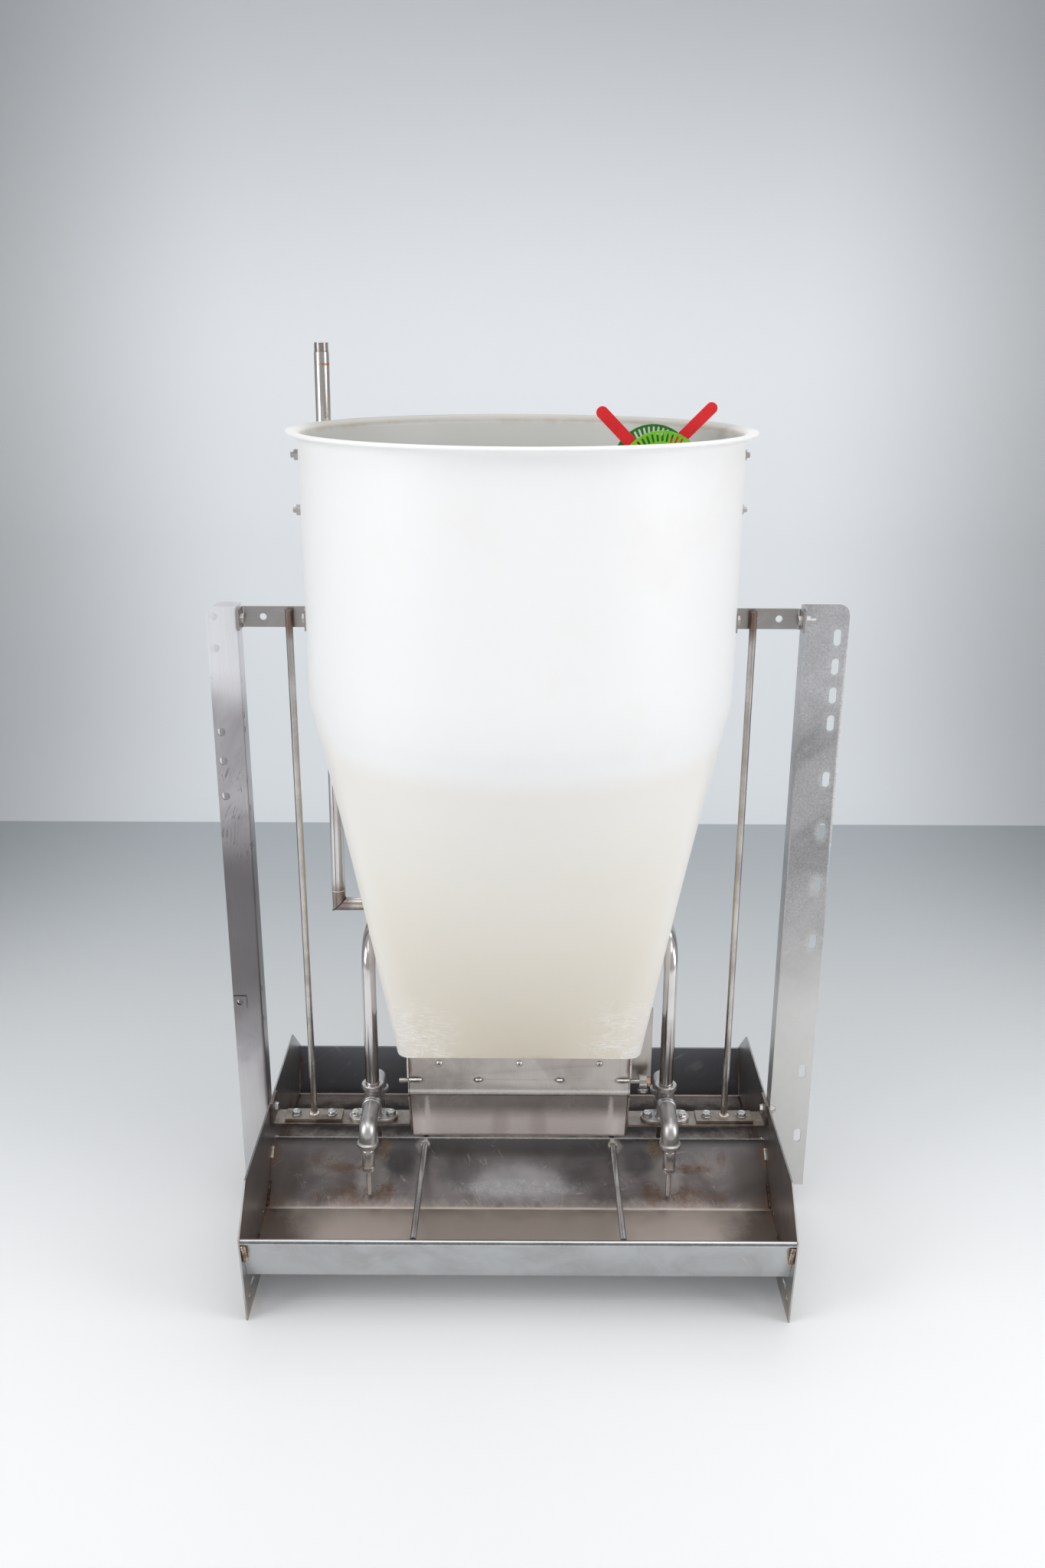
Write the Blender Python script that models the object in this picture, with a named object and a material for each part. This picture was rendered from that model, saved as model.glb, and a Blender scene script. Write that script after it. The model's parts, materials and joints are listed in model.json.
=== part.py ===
# Double-sided pig feeder: plastic hopper over a stainless trough with four drinkers.
# Metres. x runs along the trough, y from front to back, z up from the floor.
# Sides: -1 is left or front, +1 is right or rear.
import math

import bmesh
import bpy
from mathutils import Vector

# Clearances
TOUCH_GAP = 0.0003
RUNNING_GAP = 0.0004
SWING_GAP = 0.0010

# Trough and end plates
SIDE_ROOM = 0.096
END_SHEET = 0.0025
FOOT_HALF = 0.254
LIP_HALF = 0.2705
LIP_HEIGHT = 0.149
SHOULDER_HALF = 0.208
SHOULDER_HEIGHT = 0.204
PAN_SHEET = 0.002
HEM_WIDTH = 0.006
HEM_DROP = 0.007
APRON_FOOT_HALF = 0.238
FLOOR_HEIGHT = 0.069
CREASE_HALF = 0.088
RIDGE_HEIGHT = 0.139
BEND_RADIUS = 0.004
FOOT_SLOT_WIDTH = 0.009
FOOT_SLOT_LONG = 0.023
FOOT_SLOT_SHORT = 0.014
FOOT_SLOT_INSET = 0.0425
FOOT_SLOT_HEIGHT = 0.033
TOE_SLOT_INSET = 0.019
TOE_SLOT_HEIGHT = 0.026
DRAIN_HOLE = 0.005
DRAIN_RISE = 0.010

# Divider rods across the trough
DIVIDER_DIAMETER = 0.010
DIVIDER_X = 0.147
DIVIDER_LIP_DROP = 0.005
DIVIDER_RIDGE_Y = 0.0085

# Line of posts, bars, stays and drop pipes
LINE_Y = 0.004

# Bars, foot plates and stays
BAR_WIDTH = 0.040
BAR_THICK = 0.004
BAR_BELOW_SHOULDER = 0.031
BAR_BEND = 0.007
BAR_INNER_TAB = 0.024
BAR_OUTER_TAB = 0.035
STAY_OUT = 0.028
STAY_DIAMETER = 0.010
STAY_TOP_BELOW = 0.003
FOOT_PLATE_LENGTH = 0.089
FOOT_PLATE_WIDTH = 0.030
PAD_THICK = 0.005
PAD_BOLT_SPAN = 0.055

# Posts
POST_SHEET = 0.002
POST_DEPTH = 0.036
POST_FOOT = 0.040
POST_TOP = 0.988
LEFT_FLANGE = 0.0425
RIGHT_FLANGE = 0.069
POST_CORNER = 0.015
POST_BEND = 0.004
LEFT_HOLE = 0.012
LEFT_HOLE_INSET = 0.0105
LEFT_HOLE_DROPS = (0.014, 0.058, 0.179, 0.222, 0.275)
PIN_HOLE = 0.005
PIN_HOLE_INSET = 0.0035
PIN_HOLE_DROP = 0.100
WASHER_PLATE = 0.020
WASHER_THICK = 0.002
WASHER_HOLE = 0.010
WASHER_HEIGHT = 0.384
RIGHT_SLOT_WIDTH = 0.011
RIGHT_SLOT_LENGTH = 0.024
RIGHT_SLOT_INSET = 0.0150
RIGHT_SLOT_DROPS = (0.047, 0.089, 0.131, 0.172, 0.257, 0.337, 0.424, 0.516, 0.740, 0.856)
WEB_SLOT_WIDTH = 0.004
WEB_SLOT_LENGTH = 0.010
WEB_SLOT_DROPS = (0.105, 0.156, 0.177, 0.295, 0.352, 0.586, 0.637)

# Top strips
STRIP_THICK = 0.003
STRIP_HEIGHT = 0.029
STRIP_BELOW_POST = 0.004
STRIP_TAB = 0.030
STRIP_HOLE = 0.010
STRIP_HOLE_FROM_POST = 0.0315
STRIP_BEND = 0.006

# Hopper
HOPPER_WALL = 0.005
HOPPER_RADIUS = 0.294
HOPPER_FOOT = 0.336
HOPPER_BREAK = 0.869
HOPPER_TOP = 1.226
HOPPER_LEDGE_X = 0.015
HOPPER_LEDGE_Y = 0.007
HOPPER_FOOT_CORNER = 0.020
RIM_OVERHANG = 0.016
RIM_THICK = 0.014

# Collar under the hopper
COLLAR_SETBACK = 0.129
COLLAR_Y = 0.088
COLLAR_SHEET = 0.002
COLLAR_DROP = 0.068
COLLAR_SEAM_DROP = 0.040
COLLAR_STEP = 0.0008
COLLAR_RETURN = 0.006
FEED_GAP = 0.035
CHEEK_FOOT_Y = 0.044
CHEEK_SHOULDER_DROP = 0.074
SCREW_SPACING = 0.118
SCREW_BELOW_HOPPER = 0.0125
SCREW_HEAD = 0.009
SCREW_DOME = 0.0031
BRACKET_REACH = 0.034
BRACKET_SHEET = 0.0025
BRACKET_Y = -0.050
BRACKET_DROP = 0.069
BRACKET_RISE = 0.059

# Gates and their shafts
GATE_SHEET = 0.002
GATE_ROOM = 0.0025
GATE_OVER_SHAFT = 0.005
GATE_BAND = 0.034
GATE_FOOT_Y = 0.050
GATE_FOOT_RISE = 0.0095
GATE_LIP = 0.008
SHAFT_DIAMETER = 0.008
SHAFT_DROP = 0.051
SHAFT_STUB = 0.014
SET_COLLAR_DIAMETER = 0.022
SET_COLLAR_WIDTH = 0.011
SET_COLLAR_OUT = 0.014
CRANK_THICK = 0.004
CRANK_INSET = 0.016
CRANK_WIDTH = 0.008
GATE_SWING = math.radians(27.0)

# Levers, discs and links
PIVOT_INSET = 0.114
PIVOT_DROP = 0.054
PIN_DIAMETER = 0.008
LEVER_SWING = math.radians(90.0)
LEVER_LENGTH = 0.109
LEVER_WIDTH = 0.016
LEVER_THICK = 0.0045
LEVER_Y = 0.0545
HUB_RADIUS = 0.012
HUB_TUBE_RADIUS = 0.0062
LEVER_CRANK = 0.020
LEVER_CRANK_WIDTH = 0.013
CRANK_PIN = 0.005
DISC_RADIUS = 0.0557
DISC_THICK = 0.004
DISC_SLOTS = 19
DISC_PITCH = math.radians(7.5)
DISC_SLOT_WIDTH = 0.0034
DISC_SLOT_LENGTH = 0.0113
DISC_SLOT_RIM = 0.003
STUD_SPREAD = 0.034
STUD_DROP = 0.034
LINK_Y = 0.040
LINK_DIAMETER = 0.006
LINK_SHEET = 0.003
LINK_WALL = 0.003
EYE_PLAY = 0.0010
PLATE_DROP = 0.024
PLATE_HEIGHT = 0.094
PLATE_SHEET = 0.002
PLATE_TAB = 0.025
PLATE_BOLT_INSET = 0.011

# Drinkers and pipes
DRINKER_OUT = 0.064
FLANGE_HALF = 0.038
FLANGE_WIDTH = 0.034
PIPE_DIAMETER = 0.0213
PIPE_WALL = 0.002
TEE_RADIUS = 0.0135
TEE_OVER_PORT = 0.0285
TEE_RIM_RADIUS = 0.0168
TEE_RIM = 0.008
SOCKET_DEPTH = 0.013
PORT_RADIUS = 0.0145
PORT_REACH = 0.0195
PORT_OVER_FLANGE = 0.0277
ELBOW_RADIUS = 0.01325
ELBOW_BEND = 0.021
ELBOW_DROP = 0.0295
ELBOW_RIM_RADIUS = 0.0163
ELBOW_RIM = 0.0065
NIPPLE_Y = 0.078
NIPPLE_SPIGOT_RADIUS = 0.0095
NIPPLE_SPIGOT = 0.006
NIPPLE_RADIUS = 0.0102
NIPPLE_LENGTH = 0.0445
NIPPLE_GUIDE_RADIUS = 0.0046
NIPPLE_CAVITY_RADIUS = 0.0072
NIPPLE_GUIDE = 0.016
STEM_RADIUS = 0.0040
STEM_OUT = 0.043
STEM_HEAD_RADIUS = 0.0062
STEM_HEAD = 0.007
PIPE_BEND = 0.045
HEADER_GAP = 0.0023
HEADER_RISE = 0.134
HEADER_OVER = 0.004
HEADER_STUB = 0.025
RISER_GAP = 0.0035
RISER_LEAN = 0.009
RISER_OVER_RIM = 0.105

# Bolts
BOLT_DIAMETER = 0.008
BOLT_ACROSS = 0.013
BOLT_HEAD = 0.0053
BOLT_NUT = 0.0065
BOLT_LENGTH = 0.020
BOLT_CLEARANCE = 0.0005

# Facets
ROD_SIDES = 10
PIPE_SIDES = 12
FITTING_SIDES = 12
HOLE_SIDES = 10
ARC_STEPS = 4
DISC_SIDES = 36

# Places that follow from the sizes above
HALF_LENGTH = HOPPER_RADIUS + SIDE_ROOM
END_INNER = HALF_LENGTH - END_SHEET
POST_INNER = HALF_LENGTH + TOUCH_GAP
POST_FRONT = LINE_Y - POST_DEPTH / 2
POST_REAR = LINE_Y + POST_DEPTH / 2
CENTRE_SHIFT = (LEFT_FLANGE - RIGHT_FLANGE) / 2
BAR_TOP = SHOULDER_HEIGHT - BAR_BELOW_SHOULDER
TAB_BOLT_Z = BAR_TOP + BAR_OUTER_TAB / 2
STAY_X = HOPPER_RADIUS + STAY_OUT
COLLAR_X = HOPPER_RADIUS - COLLAR_SETBACK
DRINKER_X = COLLAR_X + DRINKER_OUT
STRIP_TOP = POST_TOP - STRIP_BELOW_POST
PAD_FLOOR = BAR_TOP + TOUCH_GAP
PAD_TOP = PAD_FLOOR + PAD_THICK
STRIP_FRONT = LINE_Y + STAY_DIAMETER / 2 + TOUCH_GAP
STRIP_TAB_Y = STRIP_FRONT + STRIP_THICK - STRIP_TAB / 2
HOPPER_FOOT_X = COLLAR_X + HOPPER_LEDGE_X
HOPPER_FOOT_Y = COLLAR_Y + HOPPER_LEDGE_Y
CHEEK_FOOT = RIDGE_HEIGHT + FEED_GAP
GATE_FACE_Y = COLLAR_Y - COLLAR_RETURN - GATE_ROOM
GATE_FOOT = CHEEK_FOOT + GATE_FOOT_RISE
SHAFT_HEIGHT = HOPPER_FOOT - SHAFT_DROP
GATE_TOP = SHAFT_HEIGHT + GATE_OVER_SHAFT
GATE_BEND = GATE_TOP - GATE_BAND
SHAFT_Y = GATE_FACE_Y - GATE_SHEET - TOUCH_GAP - SHAFT_DIAMETER / 2
CRANK_X = COLLAR_X - CRANK_INSET
PIVOT_X = HOPPER_RADIUS - PIVOT_INSET
PIVOT_Z = HOPPER_TOP - PIVOT_DROP
PLATE_TOP = HOPPER_TOP - PLATE_DROP
PLATE_BOLTS = (PLATE_TOP - PLATE_BOLT_INSET, PLATE_TOP - PLATE_HEIGHT + PLATE_BOLT_INSET)
PORT_HEIGHT = PAD_TOP + PORT_OVER_FLANGE
TEE_TOP = PORT_HEIGHT + TEE_OVER_PORT
ELBOW_MOUTH = PORT_HEIGHT - ELBOW_DROP
NIPPLE_FOOT = ELBOW_MOUTH - NIPPLE_LENGTH
NIPPLE_SEAT = NIPPLE_FOOT + NIPPLE_GUIDE
STEM_FOOT = NIPPLE_FOOT - STEM_OUT
LEVER_REST = LEVER_SWING / 2
GATE_REST = GATE_SWING / 2
LEVER_STROKE = LEVER_CRANK * math.sin(LEVER_REST)
GATE_CRANK = LEVER_STROKE / math.sin(GATE_REST)
COLLAR_TOP = HOPPER_FOOT + HOPPER_WALL
HOPPER_TAPER = (HOPPER_RADIUS - HOPPER_FOOT_X) / (HOPPER_BREAK - HOPPER_FOOT)
HOPPER_TAPER_Y = (HOPPER_RADIUS - HOPPER_FOOT_Y) / (HOPPER_BREAK - HOPPER_FOOT)
PIPE_RADIUS = PIPE_DIAMETER / 2
HEADER_Z = HOPPER_FOOT + HEADER_RISE
HEADER_Y = HOPPER_FOOT_Y + HOPPER_TAPER_Y * HEADER_RISE + HEADER_GAP + PIPE_RADIUS
RISER_REACH = HOPPER_RADIUS + RIM_OVERHANG + RISER_GAP + PIPE_RADIUS
RISER_TOP_X = math.sqrt(RISER_REACH * RISER_REACH - HEADER_Y * HEADER_Y)
RISER_FOOT_X = RISER_TOP_X + RISER_LEAN
RISER_FOOT = HEADER_Z + HEADER_STUB
RISER_TOP = HOPPER_TOP + RISER_OVER_RIM


def clear_scene():
    for old in list(bpy.data.objects):
        bpy.data.objects.remove(old, do_unlink=True)


# Finishes: base colour, roughness, metallic
FINISHES = {
    "dull_steel": ((0.36, 0.34, 0.33), 0.42, 1.0),
    "bright_steel": ((0.62, 0.60, 0.58), 0.28, 1.0),
    "frosted_steel": ((0.48, 0.47, 0.47), 0.50, 1.0),
    "white_plastic": ((0.86, 0.85, 0.82), 0.45, 0.0),
    "lime_plastic": ((0.21, 0.58, 0.03), 0.40, 0.0),
    "green_plastic": ((0.03, 0.22, 0.02), 0.45, 0.0),
    "red_plastic": ((0.75, 0.03, 0.04), 0.30, 0.0),
}


def finish_for(name, finish):
    colour, roughness, metallic = FINISHES[finish]
    material = bpy.data.materials.new(name + "_" + finish)
    material.use_nodes = True
    shader = material.node_tree.nodes["Principled BSDF"]
    shader.inputs["Base Color"].default_value = (*colour, 1.0)
    shader.inputs["Roughness"].default_value = roughness
    shader.inputs["Metallic"].default_value = metallic
    material.diffuse_color = (*colour, 1.0)
    return material


def add_empty(name, place, parent=None):
    empty = bpy.data.objects.new(name, None)
    bpy.context.scene.collection.objects.link(empty)
    empty.location = place
    empty.parent = parent
    return empty


def add_mesh(name, shape, place, parent):
    bmesh.ops.recalc_face_normals(shape, faces=shape.faces)
    mesh = bpy.data.meshes.new(name)
    shape.to_mesh(mesh)
    shape.free()
    mesh.shade_smooth()
    mesh.set_sharp_from_angle(angle=math.radians(35))
    piece = bpy.data.objects.new(name, mesh)
    bpy.context.scene.collection.objects.link(piece)
    piece.location = place
    piece.parent = parent
    return piece


def add_part(name, shape, finish, parent, place=(0, 0, 0)):
    piece = add_mesh(name, shape, place, parent)
    piece.data.materials.append(finish_for(name, finish))
    return piece


def boolean(piece, shape, operation):
    # The tool is a child of the piece, so both share one set of axes
    tool = add_mesh(piece.name + "_" + operation.lower(), shape, (0, 0, 0), piece)
    tool.hide_render = True
    tool.display_type = "WIRE"
    step = piece.modifiers.new(operation.lower(), "BOOLEAN")
    step.operation = operation
    step.solver = "EXACT"
    step.object = tool


def cut(piece, shape):
    boolean(piece, shape, "DIFFERENCE")


def join(piece, shape):
    boolean(piece, shape, "UNION")


# Outlines in a plane


def rounded(points, radius, steps=3):
    # Replaces each inner corner of an open path by an arc
    path = [Vector(points[0])]
    for before, corner, after in zip(points, points[1:], points[2:]):
        corner = Vector(corner)
        back = (Vector(before) - corner).normalized()
        ahead = (Vector(after) - corner).normalized()
        half = back.angle(ahead) / 2
        centre = corner + (back + ahead).normalized() * (radius / math.sin(half))
        start = corner + back * (radius / math.tan(half)) - centre
        turn = start.angle_signed(corner + ahead * (radius / math.tan(half)) - centre)
        for step in range(steps + 1):
            angle = -turn * step / steps
            cosine = math.cos(angle)
            sine = math.sin(angle)
            arm = (start.x * cosine - start.y * sine, start.x * sine + start.y * cosine)
            path.append(centre + Vector(arm))
    path.append(Vector(points[-1]))
    return path


def folded(path, thickness):
    # Outline of a folded sheet whose other face lies to the left of the path
    path = [Vector(point) for point in path]
    runs = [(b - a).normalized() for a, b in zip(path, path[1:])]
    lefts = [Vector((-run.y, run.x)) for run in runs]
    other = [path[0] + lefts[0] * thickness]
    for point, before, after in zip(path[1:], lefts, lefts[1:]):
        other.append(point + (before + after) * (thickness / (1 + before.dot(after))))
    other.append(path[-1] + lefts[-1] * thickness)
    return path + other[::-1]


def obround(across, length, along=0.0, sides=HOLE_SIDES):
    # A circle drawn out to length, its long way at the angle along
    half = (length - across) / 2
    outline = []
    for step in range(sides):
        angle = -math.pi / 2 + (step + 0.5) * 2 * math.pi / sides
        shift = half if step < sides // 2 else -half
        x = across / 2 * math.cos(angle) + shift
        y = across / 2 * math.sin(angle)
        outline.append((x * math.cos(along) - y * math.sin(along), x * math.sin(along) + y * math.cos(along)))
    return outline


def moved(outline, x, y):
    return [(a + x, b + y) for a, b in outline]


def scaled_x(outline, side):
    return [(a * side, b) for a, b in outline]


# Solids from rings of points


def loft(shape, rings, loop=False):
    rows = [[shape.verts.new(point) for point in ring] for ring in rings]
    pairs = list(zip(rows, rows[1:]))
    if loop:
        pairs.append((rows[-1], rows[0]))
    else:
        shape.faces.new(rows[0][::-1])
        shape.faces.new(rows[-1])
    for lower, upper in pairs:
        for i in range(len(lower)):
            j = (i + 1) % len(lower)
            shape.faces.new((lower[i], lower[j], upper[j], upper[i]))
    return shape


PLANES = {
    "XY": lambda a, b, c: Vector((a, b, c)),
    "XZ": lambda a, b, c: Vector((a, c, b)),
    "YZ": lambda a, b, c: Vector((c, a, b)),
}


def prism(outline, low, high, plane="XY", shape=None):
    # Extrudes an outline drawn in a plane, between two places on the third axis
    place = PLANES[plane]
    rings = [[place(a, b, level) for a, b in outline] for level in (low, high)]
    return loft(shape or bmesh.new(), rings)


def box(x0, x1, y0, y1, z0, z1, shape=None):
    return prism([(x0, y0), (x1, y0), (x1, y1), (x0, y1)], z0, z1, "XY", shape)


def circle(centre, radius, sides, plane="XY", level=0.0):
    place = PLANES[plane]
    ring = []
    for step in range(sides):
        angle = 2 * math.pi * (step + 0.5) / sides
        a = centre[0] + radius * math.cos(angle)
        b = centre[1] + radius * math.sin(angle)
        ring.append(place(a, b, level))
    return ring


def turned(profile, sides, centre=(0, 0), plane="XY", loop=False, shape=None):
    # Turns a profile of (radius, level) pairs about an axis across the plane
    rings = [circle(centre, radius, sides, plane, level) for radius, level in profile]
    return loft(shape or bmesh.new(), rings, loop)


def swept_rings(path, radius, sides):
    # A round section carried along a path, with mitred corners
    path = [Vector(point) for point in path]
    runs = [(b - a).normalized() for a, b in zip(path, path[1:])]
    level = Vector((0, 1, 0)) if abs(runs[0].z) > abs(runs[0].y) else Vector((0, 0, 1))
    across = runs[0].cross(level).normalized()
    upright = runs[0].cross(across)
    ring = []
    for step in range(sides):
        angle = 2 * math.pi * (step + 0.5) / sides
        ring.append(path[0] + (across * math.cos(angle) + upright * math.sin(angle)) * radius)
    rings = [ring]
    for i, run in enumerate(runs):
        flat = (run + runs[i + 1]).normalized() if i + 1 < len(runs) else run
        end = path[i + 1]
        ring = [p + run * ((end - p).dot(flat) / run.dot(flat)) for p in ring]
        rings.append(ring)
    return rings


def swept(path, radius, sides, wall=0.0, shape=None):
    rings = swept_rings(path, radius, sides)
    if wall:
        rings += swept_rings(path, radius - wall, sides)[::-1]
    return loft(shape or bmesh.new(), rings, loop=bool(wall))


def quarter_turn(start, corner, end, radius, steps=ARC_STEPS):
    # Path from start to end with one round corner
    start, corner, end = Vector(start), Vector(corner), Vector(end)
    back = (start - corner).normalized()
    ahead = (end - corner).normalized()
    centre = corner + (back + ahead) * radius
    path = [start]
    for step in range(steps + 1):
        angle = math.pi / 2 * step / steps
        path.append(centre - ahead * radius * math.cos(angle) - back * radius * math.sin(angle))
    return path + [end]


# Bolts: a hexagon head, a shank and a nut in one solid


def hexagon_bolt(under_head, way, grip, seat=TOUCH_GAP):
    # under_head is the seat of the head, way points from the seat out of the head
    under_head = Vector(under_head)
    way = Vector(way)
    across = way.orthogonal().normalized()
    other = way.cross(across)
    corner = BOLT_ACROSS / math.sqrt(3)
    neck = BOLT_DIAMETER / 2
    nut = -grip - TOUCH_GAP - seat
    profile = [
        (corner, BOLT_HEAD),
        (corner, 0.0),
        (neck, 0.0),
        (neck, nut),
        (corner, nut),
        (corner, nut - BOLT_NUT),
        (neck, nut - BOLT_NUT),
        (neck, min(-BOLT_LENGTH, nut - BOLT_NUT - neck)),
    ]
    rings = []
    for radius, level in profile:
        ring = []
        for step in range(6):
            angle = math.pi / 3 * step
            arm = across * math.cos(angle) + other * math.sin(angle)
            ring.append(under_head + way * (level + seat) + arm * radius)
        rings.append(ring)
    return loft(bmesh.new(), rings)


def hole(shape, centre, diameter, low, high, plane):
    return turned([(diameter / 2, low), (diameter / 2, high)], HOLE_SIDES, centre, plane, shape=shape)


BOLT_HOLE = BOLT_DIAMETER + 2 * BOLT_CLEARANCE
THROUGH = 0.05
# A bolt that is one piece with its sheet is sunk a little way into it
JOINED = -0.0005


# Trough


def apron_y(height):
    # Inner face of the front wall at a height, as a distance from the middle
    top = LIP_HALF - HEM_WIDTH
    return top + (height - LIP_HEIGHT) * (top - APRON_FOOT_HALF) / (LIP_HEIGHT - FLOOR_HEIGHT)


def ridge_z(reach):
    # Upper face of the middle ridge at a distance from the middle
    return RIDGE_HEIGHT - reach * (RIDGE_HEIGHT - FLOOR_HEIGHT) / CREASE_HALF


def make_trough(root):
    hem = [(LIP_HALF, LIP_HEIGHT - HEM_DROP), (LIP_HALF, LIP_HEIGHT), (LIP_HALF - HEM_WIDTH, LIP_HEIGHT)]
    rear = hem + [(APRON_FOOT_HALF, FLOOR_HEIGHT), (CREASE_HALF, FLOOR_HEIGHT)]
    front = [(-y, z) for y, z in rear]
    path = rear + [(0, RIDGE_HEIGHT)] + front[::-1]
    sheet = folded(rounded(path, PAN_SHEET * 1.2, 2), PAN_SHEET)
    half = END_INNER - TOUCH_GAP
    add_part("trough_pan", prism(sheet, -half, half, "YZ"), "dull_steel", root)


def make_end_plate(root, side):
    front = [(-SHOULDER_HALF, SHOULDER_HEIGHT), (-LIP_HALF, LIP_HEIGHT), (-FOOT_HALF, 0)]
    rear = [(-y, z) for y, z in front[::-1]]
    inner = side * END_INNER
    outer = side * HALF_LENGTH
    name = "end_plate_left" if side < 0 else "end_plate_right"
    plate = add_part(name, prism(front + rear, inner, outer, "YZ"), "dull_steel", root)
    slots = bmesh.new()
    reach = sorted((inner - side * THROUGH, outer + side * THROUGH))
    for end in (-1, 1):
        long_slot = obround(FOOT_SLOT_WIDTH, FOOT_SLOT_LONG)
        short_slot = obround(FOOT_SLOT_WIDTH, FOOT_SLOT_SHORT)
        long_y = end * (FOOT_HALF - FOOT_SLOT_INSET)
        short_y = end * (FOOT_HALF - TOE_SLOT_INSET)
        prism(moved(long_slot, long_y, FOOT_SLOT_HEIGHT), *reach, "YZ", slots)
        prism(moved(short_slot, short_y, TOE_SLOT_HEIGHT), *reach, "YZ", slots)
        drain = (end * (CREASE_HALF + APRON_FOOT_HALF) / 3, FLOOR_HEIGHT + DRAIN_RISE)
        hole(slots, drain, DRAIN_HOLE, *reach, "YZ")
    hole(slots, (LINE_Y, TAB_BOLT_Z), BOLT_HOLE, *reach, "YZ")
    cut(plate, slots)


def make_dividers(root):
    radius = DIVIDER_DIAMETER / 2
    lip_z = LIP_HEIGHT - DIVIDER_LIP_DROP
    ridge = ridge_z(DIVIDER_RIDGE_Y) + radius + RUNNING_GAP
    lip_y = apron_y(lip_z - radius) - TOUCH_GAP
    for end, row in ((-1, "front"), (1, "rear")):
        for side, hand in ((-1, "left"), (1, "right")):
            path = [(0, 0, ridge), (0, end * (lip_y - DIVIDER_RIDGE_Y), lip_z)]
            rod = swept(path, radius, ROD_SIDES)
            place = (side * DIVIDER_X, end * DIVIDER_RIDGE_Y, 0)
            add_part(f"divider_rod_{row}_{hand}", rod, "bright_steel", root, place)


# Bars, pads and stays


def pad_bolts(side):
    # Where the bolts stand on each bar, from the middle of the feeder outwards
    for middle in (DRINKER_X, STAY_X):
        for way in (-0.5, 0.5):
            yield side * (middle + way * PAD_BOLT_SPAN)


def make_bar(root, side):
    near = COLLAR_X + TOUCH_GAP
    far = END_INNER - TOUCH_GAP
    under = BAR_TOP - BAR_THICK
    path = [(near, BAR_TOP + BAR_INNER_TAB), (near, under), (far, under), (far, BAR_TOP + BAR_OUTER_TAB)]
    sheet = scaled_x(folded(rounded(path, BAR_BEND), BAR_THICK), side)
    low = LINE_Y - BAR_WIDTH / 2
    name = "support_bar_left" if side < 0 else "support_bar_right"
    bar = add_part(name, prism(sheet, low, low + BAR_WIDTH, "XZ"), "dull_steel", root)
    holes = bmesh.new()
    for x in pad_bolts(side):
        hole(holes, (x, LINE_Y), BOLT_HOLE, under - THROUGH, BAR_TOP + THROUGH, "XY")
    reach = sorted((side * (far - THROUGH), side * (far + THROUGH)))
    hole(holes, (LINE_Y, TAB_BOLT_Z), BOLT_HOLE, *reach, "YZ")
    cut(bar, holes)


def pad_holes():
    # Two bolt holes through a pad, in the pad's own axes
    holes = bmesh.new()
    for way in (-0.5, 0.5):
        hole(holes, (way * PAD_BOLT_SPAN, 0), BOLT_HOLE, BAR_TOP - THROUGH, PAD_TOP + BOLT_HEAD, "XY")
    return holes


def make_stay(root, side, hand):
    # A rod welded upright on its foot plate
    x = FOOT_PLATE_LENGTH / 2
    y = FOOT_PLATE_WIDTH / 2
    slab = box(-x, x, -y, y, PAD_FLOOR, PAD_TOP)
    stay = add_part("stay_rod_" + hand, slab, "bright_steel", root, (side * STAY_X, LINE_Y, 0))
    path = [(0, 0, PAD_TOP - PAD_THICK / 2), (0, 0, STRIP_TOP - STAY_TOP_BELOW)]
    join(stay, swept(path, STAY_DIAMETER / 2, ROD_SIDES))
    cut(stay, pad_holes())


# Posts and top strips


def corner_cutter(shape, x, side, low, high):
    # Takes off the upper outer corner of a post's flange
    top = POST_TOP
    outline = [(x + side * THROUGH, top + THROUGH), (x - side * POST_CORNER, top + THROUGH)]
    for step in range(ARC_STEPS + 1):
        angle = math.pi / 2 * (1 - step / ARC_STEPS)
        reach = POST_CORNER * (1 - math.cos(angle))
        rise = POST_CORNER * (1 - math.sin(angle))
        outline.append((x - side * reach, top - rise))
    outline.append((x + side * THROUGH, top - POST_CORNER))
    return prism(outline, low, high, "XZ", shape)


def web_slots(shape, x, drops):
    for drop in drops:
        slot = obround(WEB_SLOT_WIDTH, WEB_SLOT_LENGTH, math.pi / 2, 6)
        prism(moved(slot, POST_FRONT + POST_DEPTH / 4, POST_TOP - drop), x - THROUGH / 5, x + THROUGH / 5, "YZ", shape)


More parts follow.
